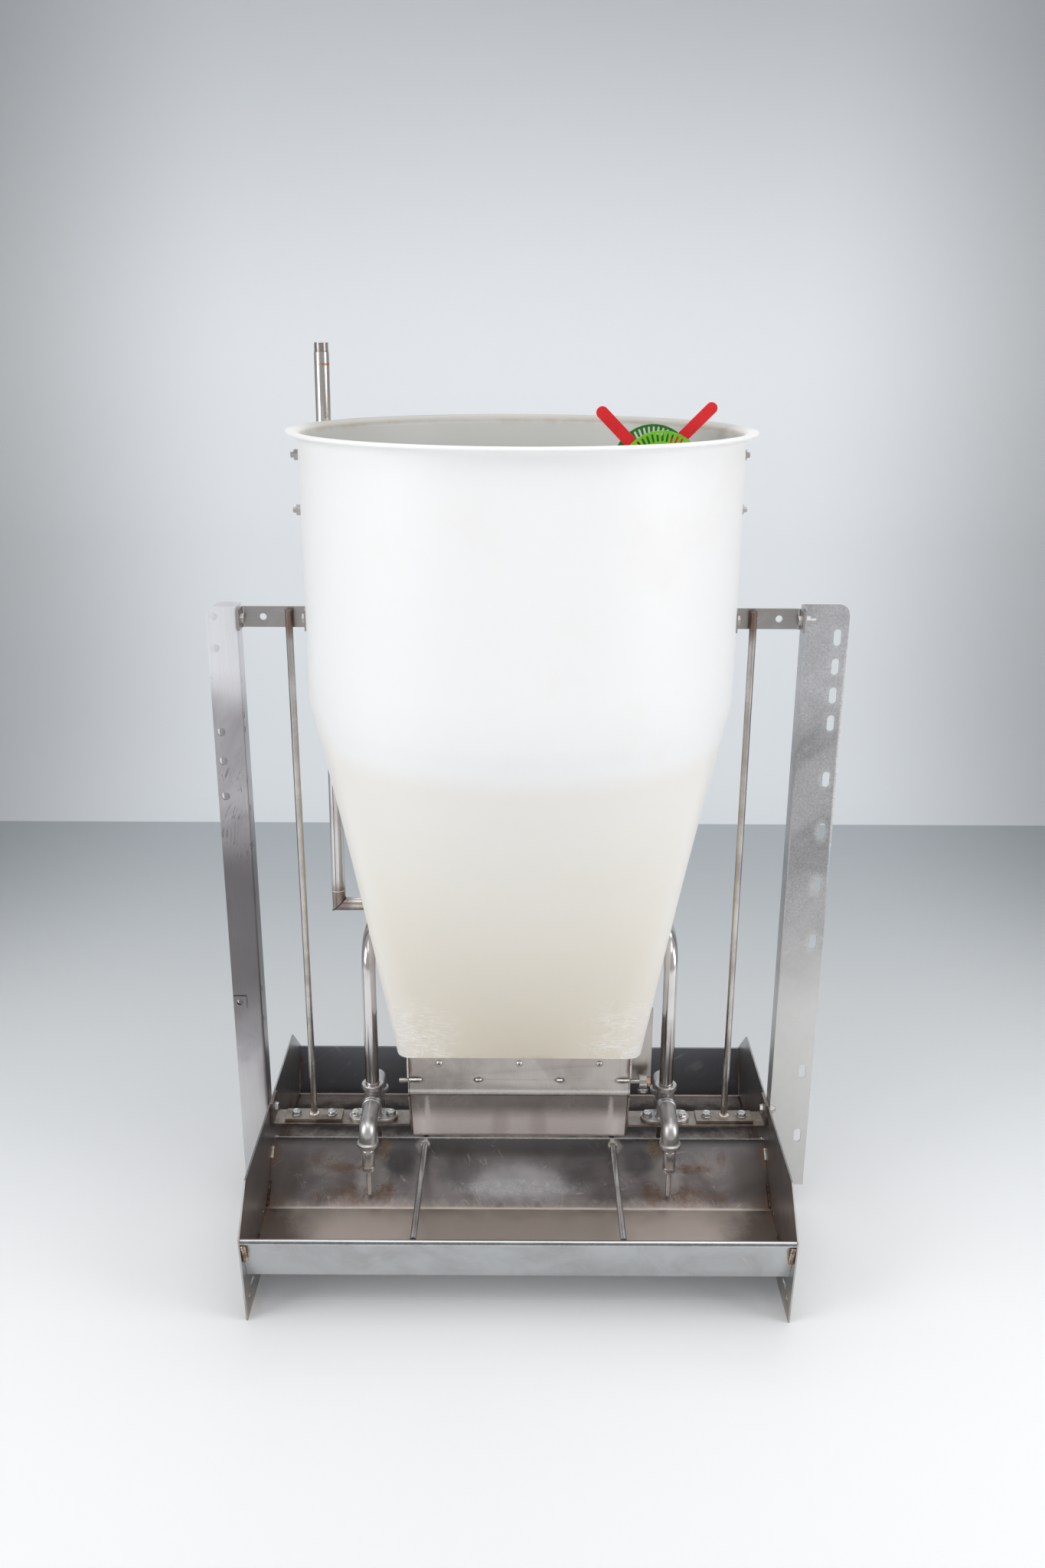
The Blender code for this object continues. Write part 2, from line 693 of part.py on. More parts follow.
def make_left_post(root):
    edge = POST_INNER + LEFT_FLANGE
    path = [(edge, POST_REAR), (POST_INNER, POST_REAR), (POST_INNER, POST_FRONT), (edge, POST_FRONT)]
    sheet = scaled_x(folded(rounded(path, POST_BEND), POST_SHEET), -1)
    post = add_part("post_left", prism(sheet, POST_FOOT, POST_TOP), "frosted_steel", root)
    pad_x = -(edge - LEFT_HOLE_INSET)
    half = WASHER_PLATE / 2
    low = POST_FRONT - WASHER_THICK
    pad = box(pad_x - half, pad_x + half, low, POST_FRONT + POST_SHEET / 2, WASHER_HEIGHT - half, WASHER_HEIGHT + half)
    join(post, pad)
    holes = corner_cutter(bmesh.new(), -edge, -1, POST_FRONT - THROUGH, POST_REAR + THROUGH)
    for drop in LEFT_HOLE_DROPS:
        hole(holes, (pad_x, POST_TOP - drop), LEFT_HOLE, POST_FRONT - THROUGH, POST_REAR + THROUGH, "XZ")
    hole(holes, (pad_x, WASHER_HEIGHT), WASHER_HOLE, POST_FRONT - THROUGH, POST_REAR + THROUGH, "XZ")
    pin = (-(edge - PIN_HOLE_INSET), POST_TOP - PIN_HOLE_DROP)
    hole(holes, pin, PIN_HOLE, POST_FRONT - THROUGH, LINE_Y, "XZ")
    for y, z in ((LINE_Y, TAB_BOLT_Z), (STRIP_TAB_Y, STRIP_TOP - STRIP_HEIGHT / 2)):
        hole(holes, (y, z), BOLT_HOLE, -POST_INNER - THROUGH / 2, -POST_INNER + THROUGH, "YZ")
    web_slots(holes, -POST_INNER, WEB_SLOT_DROPS)
    cut(post, holes)


def make_right_post(root):
    edge = POST_INNER + RIGHT_FLANGE
    path = [(edge, POST_REAR), (POST_INNER, POST_REAR), (POST_INNER, POST_FRONT)]
    sheet = folded(rounded(path, POST_BEND), POST_SHEET)
    post = add_part("post_right", prism(sheet, POST_FOOT, POST_TOP), "frosted_steel", root)
    holes = corner_cutter(bmesh.new(), edge, 1, POST_FRONT - THROUGH, POST_REAR + THROUGH)
    for drop in RIGHT_SLOT_DROPS:
        slot = obround(RIGHT_SLOT_WIDTH, RIGHT_SLOT_LENGTH, math.pi / 2)
        prism(moved(slot, edge - RIGHT_SLOT_INSET, POST_TOP - drop), POST_FRONT, POST_REAR + THROUGH, "XZ", holes)
    for y, z in ((LINE_Y, TAB_BOLT_Z), (STRIP_TAB_Y, STRIP_TOP - STRIP_HEIGHT / 2)):
        hole(holes, (y, z), BOLT_HOLE, POST_INNER - THROUGH, POST_INNER + THROUGH / 5, "YZ")
    web_slots(holes, POST_INNER, WEB_SLOT_DROPS[-2:])
    cut(post, holes)


def make_top_strip(root, side, hand):
    near = HOPPER_RADIUS + TOUCH_GAP
    far = HALF_LENGTH
    rear = STRIP_FRONT + STRIP_THICK
    front = rear - STRIP_TAB
    path = [(near, front), (near, rear), (far, rear), (far, front)]
    sheet = folded(rounded(path, STRIP_BEND)[::-1], STRIP_THICK)
    low = STRIP_TOP - STRIP_HEIGHT
    strip = add_part("top_strip_" + hand, prism(scaled_x(sheet, side), low, STRIP_TOP), "bright_steel", root)
    middle = STRIP_TOP - STRIP_HEIGHT / 2
    x = side * (far - STRIP_HOLE_FROM_POST)
    cut(strip, hole(bmesh.new(), (x, middle), STRIP_HOLE, rear - THROUGH / 5, rear + THROUGH, "XZ"))
    seat = far - STRIP_THICK
    grip = POST_INNER + POST_SHEET - seat
    post_bolt = hexagon_bolt((side * seat, STRIP_TAB_Y, middle), (-side, 0, 0), grip, JOINED)
    join(strip, post_bolt)
    seat = near + STRIP_THICK
    grip = seat - (HOPPER_RADIUS - HOPPER_WALL) + SWING_GAP
    join(strip, hexagon_bolt((side * seat, STRIP_TAB_Y, middle), (side, 0, 0), grip, JOINED))


# Hopper


def ray_radius(half_x, half_y, corner, angle):
    # Distance from the middle to a rectangle with rounded corners, along an angle
    cosine = abs(math.cos(angle))
    sine = abs(math.sin(angle))
    if half_x * sine <= (half_y - corner) * cosine:
        return half_x / cosine
    if half_y * cosine <= (half_x - corner) * sine:
        return half_y / sine
    centre = Vector((half_x - corner, half_y - corner))
    along = centre.x * cosine + centre.y * sine
    return along + math.sqrt(along * along - centre.length_squared + corner * corner)


def hopper_angles():
    # Close steps round the corners of the foot, wider ones along its sides
    start = math.atan2(HOPPER_FOOT_Y - HOPPER_FOOT_CORNER, HOPPER_FOOT_X)
    stop = math.atan2(HOPPER_FOOT_Y, HOPPER_FOOT_X - HOPPER_FOOT_CORNER)
    corner = math.atan2(LIP_OPENING_Y, LIP_OPENING_X)
    quarter = [start * step / 3 for step in range(1, 3)] + [corner]
    quarter += [start + (stop - start) * step / 3 for step in range(3)]
    quarter += [stop + (math.pi / 2 - stop) * step / 6 for step in range(6)]
    half = [0, math.pi / 2] + quarter + [math.pi - angle for angle in quarter]
    return sorted(half + [angle + math.pi for angle in half])


def hopper_rings():
    angles = hopper_angles()
    wall = HOPPER_WALL

    def level(half_x, half_y, corner, z):
        ring = []
        for angle in angles:
            reach = ray_radius(half_x, half_y, corner, angle)
            ring.append(Vector((reach * math.cos(angle), reach * math.sin(angle), z)))
        return ring

    def ring_of(radius, z):
        return [Vector((radius * math.cos(a), radius * math.sin(a), z)) for a in angles]

    rim = HOPPER_RADIUS + RIM_OVERHANG
    inside = HOPPER_RADIUS - wall
    return [
        level(HOPPER_FOOT_X, HOPPER_FOOT_Y, HOPPER_FOOT_CORNER, HOPPER_FOOT),
        ring_of(HOPPER_RADIUS, HOPPER_BREAK),
        ring_of(HOPPER_RADIUS, HOPPER_TOP - RIM_THICK * 1.4),
        ring_of(HOPPER_RADIUS + RIM_OVERHANG * 0.4, HOPPER_TOP - RIM_THICK),
        ring_of(rim, HOPPER_TOP - RIM_THICK * 0.7),
        ring_of(rim, HOPPER_TOP - RIM_THICK * 0.3),
        ring_of(rim - RIM_THICK * 0.4, HOPPER_TOP),
        ring_of(inside + wall * 0.4, HOPPER_TOP - RIM_THICK * 0.25),
        ring_of(inside, HOPPER_TOP - RIM_THICK),
        ring_of(inside, HOPPER_BREAK),
        level(HOPPER_FOOT_X - wall, HOPPER_FOOT_Y - wall, HOPPER_FOOT_CORNER - wall, HOPPER_FOOT + wall),
        level(LIP_OPENING_X, LIP_OPENING_Y, 0, HOPPER_FOOT + wall),
        level(LIP_OPENING_X, LIP_OPENING_Y, 0, HOPPER_FOOT),
    ]


# The lip under the hopper turns in to the collar
LIP_OPENING_X = COLLAR_X + TOUCH_GAP
LIP_OPENING_Y = COLLAR_Y + TOUCH_GAP


def plate_tab_x():
    # Where the bent ends of the cross plate meet the round wall
    inside = HOPPER_RADIUS - HOPPER_WALL
    return math.sqrt(inside * inside - PLATE_TAB * PLATE_TAB) - SWING_GAP


def hopper_bolt_places():
    # Side, y and z of each bolt through the hopper's wall
    for side in (-1, 1):
        yield side, STRIP_TAB_Y, STRIP_TOP - STRIP_HEIGHT / 2
        for z in PLATE_BOLTS:
            yield side, side * PLATE_TAB / 2, z


def make_hopper(root):
    hopper = add_part("hopper", loft(bmesh.new(), hopper_rings(), loop=True), "white_plastic", root)
    holes = bmesh.new()
    for side, y, z in hopper_bolt_places():
        reach = sorted((side * (HOPPER_RADIUS - THROUGH), side * (HOPPER_RADIUS + THROUGH)))
        hole(holes, (y, z), BOLT_HOLE, *reach, "YZ")
    cut(hopper, holes)


def make_cross_plate(root):
    end = plate_tab_x()
    half = PLATE_SHEET / 2
    plan = [(-end, -PLATE_TAB), (-end, half), (end - PLATE_SHEET, half), (end - PLATE_SHEET, PLATE_TAB)]
    plan += [(end, PLATE_TAB), (end, -half), (-end + PLATE_SHEET, -half), (-end + PLATE_SHEET, -PLATE_TAB)]
    plate = add_part("cross_plate", prism(plan, PLATE_TOP - PLATE_HEIGHT, PLATE_TOP), "dull_steel", root)
    cut(plate, hole(bmesh.new(), (PIVOT_X, PIVOT_Z), PIN_DIAMETER + 2 * TOUCH_GAP, -THROUGH, THROUGH, "XZ"))
    for place in stud_places():
        join(plate, turned(pin_profile(), 8, place, "XZ"))
    for side in (-1, 1):
        for z in PLATE_BOLTS:
            seat = (side * (end - PLATE_SHEET), side * PLATE_TAB / 2, z)
            grip = HOPPER_RADIUS - (end - PLATE_SHEET)
            join(plate, hexagon_bolt(seat, (-side, 0, 0), grip, JOINED))


# Collar under the hopper


def make_collar_wall(root, end, row):
    out = COLLAR_Y
    low = HOPPER_FOOT - COLLAR_DROP
    seam = HOPPER_FOOT - COLLAR_SEAM_DROP
    path = [
        (out, COLLAR_TOP),
        (out, seam + COLLAR_STEP),
        (out + COLLAR_STEP, seam),
        (out + COLLAR_STEP, low + BEND_RADIUS),
        (out + COLLAR_STEP - BEND_RADIUS * 0.3, low + BEND_RADIUS * 0.3),
        (out + COLLAR_STEP - BEND_RADIUS, low),
        (out - COLLAR_RETURN, low),
    ]
    sheet = folded(path[::-1], COLLAR_SHEET)
    half = COLLAR_X - COLLAR_SHEET - TOUCH_GAP
    wall = add_part("collar_" + row, prism([(end * y, z) for y, z in sheet], -half, half, "YZ"), "dull_steel", root)
    head = SCREW_HEAD / 2
    profile = [(head, end * (out - COLLAR_SHEET / 2))]
    for degrees in (0, 35, 70):
        lift = math.radians(degrees)
        profile.append((head * math.cos(lift), end * (out + SCREW_DOME * math.sin(lift))))
    for step in (-1, 0, 1):
        place = (step * SCREW_SPACING, HOPPER_FOOT - SCREW_BELOW_HOPPER)
        join(wall, turned(profile, 10, place, "XZ"))


def make_collar_end(root, side):
    shoulder = HOPPER_FOOT - CHEEK_SHOULDER_DROP
    foot = [(CHEEK_FOOT_Y, CHEEK_FOOT), (COLLAR_Y, shoulder), (COLLAR_Y, COLLAR_TOP)]
    outline = foot + [(-y, z) for y, z in foot[::-1]]
    outer = side * COLLAR_X
    inner = side * (COLLAR_X - COLLAR_SHEET)
    name = "collar_end_left" if side < 0 else "collar_end_right"
    plate = add_part(name, prism(outline, inner, outer, "YZ"), "dull_steel", root)
    if side > 0:
        join(plate, bracket())
    holes = bmesh.new()
    reach = sorted((inner - side * THROUGH / 5, outer + side * THROUGH / 5))
    for end in (-1, 1):
        hole(holes, (end * SHAFT_Y, SHAFT_HEIGHT), SHAFT_DIAMETER + 2 * RUNNING_GAP, *reach, "YZ")
    cut(plate, holes)


def bracket():
    # Upright plate outside the right end; its inner edge follows the hopper
    edge = COLLAR_X + BRACKET_REACH
    clear = HOPPER_FOOT_X + 2 * SWING_GAP
    low = HOPPER_FOOT - BRACKET_DROP
    top = HOPPER_FOOT + BRACKET_RISE
    knee = HOPPER_FOOT - SWING_GAP
    outline = [
        (COLLAR_X - COLLAR_SHEET / 2, low),
        (edge, low),
        (edge, top),
        (min(clear + HOPPER_TAPER * BRACKET_RISE, edge - BRACKET_SHEET), top),
        (clear, knee),
        (COLLAR_X - COLLAR_SHEET / 2, knee),
    ]
    return prism(outline, BRACKET_Y, BRACKET_Y + BRACKET_SHEET, "XZ")


# Gates, one on each side, that swing on shafts in the collar's ends


def make_gate(axis, end, row):
    # Drawn from the shaft outwards, for the rear; the front is its mirror image
    out = GATE_FACE_Y - SHAFT_Y
    foot = GATE_FOOT_Y - SHAFT_Y
    path = [
        (foot, GATE_FOOT - GATE_LIP - SHAFT_HEIGHT),
        (foot, GATE_FOOT - SHAFT_HEIGHT),
        (out, GATE_BEND - SHAFT_HEIGHT),
        (out, GATE_TOP - SHAFT_HEIGHT),
    ]
    sheet = folded(path, GATE_SHEET)
    half = COLLAR_X - COLLAR_SHEET - SWING_GAP
    plate = prism([(end * y, z) for y, z in sheet], -half, half, "YZ")
    add_part("gate_" + row, plate, "dull_steel", axis)


def make_gate_shaft(axis, end, row):
    radius = SHAFT_DIAMETER / 2
    left = -COLLAR_X - SHAFT_STUB
    collar = COLLAR_X + SET_COLLAR_OUT
    profile = [
        (radius, left),
        (radius, collar),
        (SET_COLLAR_DIAMETER / 2, collar),
        (SET_COLLAR_DIAMETER / 2, collar + SET_COLLAR_WIDTH),
        (radius, collar + SET_COLLAR_WIDTH),
        (radius, collar + SET_COLLAR_WIDTH + SHAFT_DIAMETER / 4),
    ]
    shaft = add_part("gate_shaft_" + row, turned(profile, 12, (0, 0), "YZ"), "bright_steel", axis)
    pin_y = -end * GATE_CRANK * math.cos(GATE_REST)
    pin_z = -GATE_CRANK * math.sin(GATE_REST)
    low = CRANK_X - CRANK_THICK / 2
    arm = obround(CRANK_WIDTH, GATE_CRANK + CRANK_WIDTH, math.atan2(pin_z, pin_y), 12)
    join(shaft, prism(moved(arm, pin_y / 2, pin_z / 2), low, low + CRANK_THICK, "YZ"))
    pin_end = COLLAR_X - COLLAR_SHEET - SWING_GAP
    pin = [(CRANK_PIN / 2, low + CRANK_THICK / 2), (CRANK_PIN / 2, pin_end)]
    join(shaft, turned(pin, 10, (pin_y, pin_z), "YZ"))


# Levers with their discs, and the links down to the gates


def stud_places():
    return [(PIVOT_X + way * STUD_SPREAD, PIVOT_Z - STUD_DROP) for way in (-1, 1)]


def make_disc(root, end, row, finish):
    near = LEVER_Y + LEVER_THICK + SWING_GAP
    low, high = sorted((end * near, end * (near + DISC_THICK)))
    rim = [(DISC_RADIUS, low), (DISC_RADIUS, high)]
    blank = turned(rim, DISC_SIDES, (PIVOT_X, PIVOT_Z), "XZ")
    disc = add_part("index_disc_" + row, blank, finish, root)
    holes = bmesh.new()
    reach = (low - DISC_THICK, high + DISC_THICK)
    arm = DISC_RADIUS - DISC_SLOT_RIM - DISC_SLOT_LENGTH / 2
    for step in range(DISC_SLOTS):
        angle = math.pi / 2 + (step - (DISC_SLOTS - 1) / 2) * DISC_PITCH
        slot = obround(DISC_SLOT_WIDTH, DISC_SLOT_LENGTH, angle, 6)
        x = PIVOT_X + arm * math.cos(angle)
        z = PIVOT_Z + arm * math.sin(angle)
        prism(moved(slot, x, z), *reach, "XZ", holes)
    for x, z in [(PIVOT_X, PIVOT_Z)] + stud_places():
        hole(holes, (x, z), PIN_DIAMETER + 2 * TOUCH_GAP, *reach, "XZ")
    cut(disc, holes)


def make_lever(axis, end, row):
    # The lever leans out by its rest angle; its crank stands square to it
    lean = math.pi / 2 - end * LEVER_REST
    low, high = sorted((end * LEVER_Y, end * (LEVER_Y + LEVER_THICK)))
    blade = obround(LEVER_WIDTH, LEVER_LENGTH + LEVER_WIDTH, lean, 16)
    half = LEVER_LENGTH / 2
    blank = prism(moved(blade, half * math.cos(lean), half * math.sin(lean)), low, high, "XZ")
    lever = add_part("feed_lever_" + row, blank, "red_plastic", axis)
    join(lever, turned([(HUB_RADIUS, low), (HUB_RADIUS, high)], 20, (0, 0), "XZ"))
    crank = lean - end * math.pi / 2
    pin = (LEVER_CRANK * math.cos(crank), LEVER_CRANK * math.sin(crank))
    arm = obround(LEVER_CRANK_WIDTH, LEVER_CRANK + LEVER_CRANK_WIDTH, crank, 12)
    join(lever, prism(moved(arm, pin[0] / 2, pin[1] / 2), low, high, "XZ"))
    tube = sorted((end * (PLATE_SHEET / 2 + TOUCH_GAP), end * (LEVER_Y + LEVER_THICK / 2)))
    join(lever, turned([(HUB_TUBE_RADIUS, tube[0]), (HUB_TUBE_RADIUS, tube[1])], 14, (0, 0), "XZ"))
    stub = sorted((end * (LINK_Y - LINK_SHEET), end * (LEVER_Y + LEVER_THICK / 2)))
    join(lever, turned([(CRANK_PIN / 2, stub[0]), (CRANK_PIN / 2, stub[1])], 10, pin, "XZ"))
    bore = PIN_DIAMETER + 2 * RUNNING_GAP
    cut(lever, hole(bmesh.new(), (0, 0), bore, -PIVOT_X, PIVOT_X, "XZ"))


def pin_profile():
    # A pin through both discs, with a nut at each end
    end = LEVER_Y + LEVER_THICK + SWING_GAP + DISC_THICK + TOUCH_GAP
    radius = PIN_DIAMETER / 2
    nut = BOLT_ACROSS / 2
    half = [(nut, end + BOLT_NUT), (nut, end), (radius, end)]
    return [(r, -y) for r, y in half] + half[::-1]


def make_lever_pin(root):
    pin = turned(pin_profile(), 10, (PIVOT_X, PIVOT_Z), "XZ")
    add_part("lever_pin", pin, "bright_steel", root)


def make_link(slide, end, row):
    # Slotted eyes take the sideways travel of the two crank pins
    pin_radius = CRANK_PIN / 2
    top_near = LEVER_CRANK * math.cos(LEVER_REST)
    eye_x = end * (top_near + LEVER_CRANK) / 2
    eye_z = PIVOT_Z - LEVER_STROKE
    travel_x = LEVER_CRANK - top_near + 2 * RUNNING_GAP
    foot_near = GATE_CRANK * math.cos(GATE_REST)
    foot_y = SHAFT_Y - (foot_near + GATE_CRANK) / 2
    foot_z = SHAFT_HEIGHT - LEVER_STROKE
    travel_y = GATE_CRANK - foot_near + 2 * RUNNING_GAP
    foot_x = CRANK_X + CRANK_THICK / 2 + SWING_GAP + LINK_SHEET / 2
    slot = 2 * (pin_radius + EYE_PLAY)
    eye = slot + 2 * LINK_WALL
    top = (PIVOT_X + eye_x, end * LINK_Y, eye_z - eye / 2 + LINK_WALL / 2)
    foot = (foot_x, end * foot_y, foot_z + eye / 2 - LINK_WALL / 2)
    link = add_part("link_rod_" + row, swept([top, foot], LINK_DIAMETER / 2, 8), "bright_steel", slide)
    low, high = sorted((end * LINK_Y - LINK_SHEET / 2, end * LINK_Y + LINK_SHEET / 2))
    top_plate = moved(obround(eye, eye + travel_x), PIVOT_X + eye_x, eye_z)
    join(link, prism(top_plate, low, high, "XZ"))
    foot_plate = moved(obround(eye, eye + travel_y), end * foot_y, foot_z)
    join(link, prism(foot_plate, foot_x - LINK_SHEET / 2, foot_x + LINK_SHEET / 2, "YZ"))
    slots = prism(moved(obround(slot, slot + travel_x), PIVOT_X + eye_x, eye_z), low - slot, high + slot, "XZ")
    foot_slot = moved(obround(slot, slot + travel_y), end * foot_y, foot_z)
    prism(foot_slot, foot_x - slot, foot_x + slot, "YZ", slots)
    cut(link, slots)


# Water


def make_tee(root, side, hand):
    # A tee welded on an oval flange
    foot = PAD_TOP - PAD_THICK / 2
    bore = PIPE_RADIUS + TOUCH_GAP
    rim = TEE_TOP - TEE_RIM
    profile = [
        (TEE_RADIUS, foot),
        (TEE_RADIUS, rim - (TEE_RIM_RADIUS - TEE_RADIUS)),
        (TEE_RIM_RADIUS, rim),
        (TEE_RIM_RADIUS, TEE_TOP),
        (bore, TEE_TOP),
        (bore, TEE_TOP - SOCKET_DEPTH),
    ]
    place = (side * DRINKER_X, LINE_Y, 0)
    tee = add_part("drinker_tee_" + hand, turned(profile, PIPE_SIDES), "dull_steel", root, place)
    oval = obround(FLANGE_WIDTH, 2 * FLANGE_HALF, sides=20)
    join(tee, prism(oval, PAD_FLOOR, PAD_TOP))
    port = [(PORT_RADIUS, -PORT_REACH), (PORT_RADIUS, PORT_REACH)]
    join(tee, turned(port, PIPE_SIDES, (0, PORT_HEIGHT), "XZ"))
    cut(tee, pad_holes())


def make_elbow(root, side, end, label):
    start = LINE_Y + end * (PORT_REACH + TOUCH_GAP)
    bore = NIPPLE_SPIGOT_RADIUS + TOUCH_GAP
    corner = (0, end * NIPPLE_Y, PORT_HEIGHT)
    stop = (0, end * NIPPLE_Y, ELBOW_MOUTH)
    path = quarter_turn((0, start, PORT_HEIGHT), corner, stop, ELBOW_BEND)
    outer = swept_rings(path, ELBOW_RADIUS, FITTING_SIDES)
    inner = swept_rings(path, bore, FITTING_SIDES)
    lift = Vector((0, 0, ELBOW_RIM))
    wide = [path[-1] + (p - path[-1]) * (ELBOW_RIM_RADIUS / ELBOW_RADIUS) for p in outer[-1]]
    rim = [[p + lift for p in outer[-1]], [p + lift for p in wide], wide]
    elbow = loft(bmesh.new(), outer[:-1] + rim + inner[::-1], loop=True)
    add_part("drinker_elbow_" + label, elbow, "bright_steel", root, (side * DRINKER_X, 0, 0))


def nipple_profile():
    shoulder = ELBOW_MOUTH - TOUCH_GAP
    top = shoulder + NIPPLE_SPIGOT
    return [
        (NIPPLE_GUIDE_RADIUS, top),
        (NIPPLE_SPIGOT_RADIUS, top),
        (NIPPLE_SPIGOT_RADIUS, shoulder),
        (NIPPLE_RADIUS, shoulder),
        (NIPPLE_RADIUS, NIPPLE_FOOT),
        (NIPPLE_GUIDE_RADIUS, NIPPLE_FOOT),
        (NIPPLE_GUIDE_RADIUS, NIPPLE_SEAT),
        (NIPPLE_CAVITY_RADIUS, NIPPLE_SEAT),
        (NIPPLE_CAVITY_RADIUS, top - PIPE_WALL),
        (NIPPLE_GUIDE_RADIUS, top - PIPE_WALL),
    ]


def stem_profile():
    seat = NIPPLE_SEAT + TOUCH_GAP
    return [
        (STEM_RADIUS * 0.85, STEM_FOOT),
        (STEM_RADIUS, STEM_FOOT + STEM_RADIUS * 0.2),
        (STEM_RADIUS, seat),
        (STEM_HEAD_RADIUS, seat),
        (STEM_HEAD_RADIUS, seat + STEM_HEAD),
    ]


def make_nipple(root, side, end, label):
    place = (side * DRINKER_X, end * NIPPLE_Y, 0)
    body = turned(nipple_profile(), FITTING_SIDES, loop=True)
    add_part("nipple_body_" + label, body, "bright_steel", root, place)
    stem = turned(stem_profile(), ROD_SIDES)
    add_part("nipple_stem_" + label, stem, "bright_steel", root, place)


def make_pipes(root):
    radius = PIPE_RADIUS
    foot = TEE_TOP - SOCKET_DEPTH + TOUCH_GAP
    meet = HEADER_Y - radius - TOUCH_GAP
    for side, hand in ((-1, "left"), (1, "right")):
        path = quarter_turn((0, LINE_Y, foot), (0, LINE_Y, HEADER_Z), (0, meet, HEADER_Z), PIPE_BEND, 6)
        pipe = swept(path, radius, PIPE_SIDES, PIPE_WALL)
        add_part("drop_pipe_" + hand, pipe, "bright_steel", root, (side * DRINKER_X, 0, 0))
    far = DRINKER_X + radius + HEADER_OVER
    corner = (-RISER_FOOT_X, HEADER_Y, HEADER_Z)
    path = [(-RISER_FOOT_X, HEADER_Y, RISER_FOOT), corner, (far, HEADER_Y, HEADER_Z)]
    add_part("header_pipe", swept(path, radius, PIPE_SIDES, PIPE_WALL), "bright_steel", root)
    foot = (-RISER_FOOT_X, HEADER_Y, RISER_FOOT + TOUCH_GAP)
    path = [foot, (-RISER_TOP_X, HEADER_Y, RISER_TOP)]
    add_part("inlet_pipe", swept(path, radius, PIPE_SIDES, PIPE_WALL), "bright_steel", root)


# Bolts


def make_bolts(root, side, hand):
    for number, x in enumerate(pad_bolts(side), 1):
        grip = PAD_THICK + TOUCH_GAP + BAR_THICK
        bolt = hexagon_bolt((0, 0, PAD_TOP), (0, 0, 1), grip)
        add_part(f"bar_bolt_{hand}_{number}", bolt, "bright_steel", root, (x, LINE_Y, 0))
    tab = END_INNER - TOUCH_GAP - BAR_THICK
    grip = POST_INNER + POST_SHEET - tab
    bolt = hexagon_bolt((side * tab, 0, 0), (-side, 0, 0), grip)
    add_part("post_bolt_" + hand, bolt, "bright_steel", root, (0, LINE_Y, TAB_BOLT_Z))


def main():
    clear_scene()
    root = add_empty("feeder", (CENTRE_SHIFT, 0, 0))
    make_trough(root)
    make_dividers(root)
    make_left_post(root)
    make_right_post(root)
    for side, hand in ((-1, "left"), (1, "right")):
        make_end_plate(root, side)
        make_bar(root, side)
        make_stay(root, side, hand)
        make_top_strip(root, side, hand)
        make_collar_end(root, side)
        make_tee(root, side, hand)
        make_bolts(root, side, hand)
    make_hopper(root)
    make_cross_plate(root)
    make_lever_pin(root)
    for end, row, green in ((-1, "front", "lime_plastic"), (1, "rear", "green_plastic")):
        make_collar_wall(root, end, row)
        gate_axis = add_empty("gate_axis_" + row, (0, end * SHAFT_Y, SHAFT_HEIGHT), root)
        make_gate(gate_axis, end, row)
        make_gate_shaft(gate_axis, end, row)
        make_disc(root, end, row, green)
        lever_axis = add_empty("lever_axis_" + row, (PIVOT_X, 0, PIVOT_Z), root)
        make_lever(lever_axis, end, row)
        make_link(add_empty("link_slide_" + row, (0, 0, 0), root), end, row)
        for side, hand in ((-1, "left"), (1, "right")):
            make_elbow(root, side, end, row + "_" + hand)
            make_nipple(root, side, end, row + "_" + hand)
    make_pipes(root)


main()
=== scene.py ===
# Double-sided pig feeder, dressed for a picture. Metres, x along the trough, y to the back, z up.
import json
from math import cos, pi, radians, sin, sqrt, tan

import bmesh
import bpy
from mathutils import Matrix, Vector

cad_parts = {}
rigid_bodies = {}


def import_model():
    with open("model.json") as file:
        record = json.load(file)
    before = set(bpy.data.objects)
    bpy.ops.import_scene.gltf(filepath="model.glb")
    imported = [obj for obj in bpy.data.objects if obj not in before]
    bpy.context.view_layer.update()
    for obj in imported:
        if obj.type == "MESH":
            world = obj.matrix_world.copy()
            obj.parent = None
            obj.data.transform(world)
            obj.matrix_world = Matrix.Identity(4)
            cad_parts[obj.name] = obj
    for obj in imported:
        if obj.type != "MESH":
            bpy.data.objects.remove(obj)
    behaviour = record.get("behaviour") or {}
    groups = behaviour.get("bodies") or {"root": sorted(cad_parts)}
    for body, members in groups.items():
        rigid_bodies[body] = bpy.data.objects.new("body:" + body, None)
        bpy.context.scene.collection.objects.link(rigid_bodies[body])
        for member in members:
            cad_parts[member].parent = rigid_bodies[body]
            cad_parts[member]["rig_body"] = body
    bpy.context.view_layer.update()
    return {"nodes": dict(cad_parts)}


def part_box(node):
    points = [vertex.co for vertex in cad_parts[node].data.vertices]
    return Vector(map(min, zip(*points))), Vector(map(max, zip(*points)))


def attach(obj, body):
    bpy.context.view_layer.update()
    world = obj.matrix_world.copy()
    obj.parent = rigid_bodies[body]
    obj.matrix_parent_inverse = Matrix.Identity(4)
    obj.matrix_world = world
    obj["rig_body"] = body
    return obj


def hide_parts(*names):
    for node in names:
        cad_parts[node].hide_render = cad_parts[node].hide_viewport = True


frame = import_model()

scene = bpy.context.scene
nodes = frame["nodes"]
panLow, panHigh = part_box("trough_pan")
midX = (panLow.x + panHigh.x) / 2
hands = {"left": -1, "right": 1}  # side of x
rows = {"front": -1, "rear": 1}  # side of y


def boxMiddle(node):
    low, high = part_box(node)
    return (low + high) / 2


# Camera, where the photograph was taken from

view = {"place": (-0.01025, -1.832, 1.349), "tilt": 71.3, "roll": 0.26, "lens": 30.83, "sensor": 36,
        "farthest": 50}


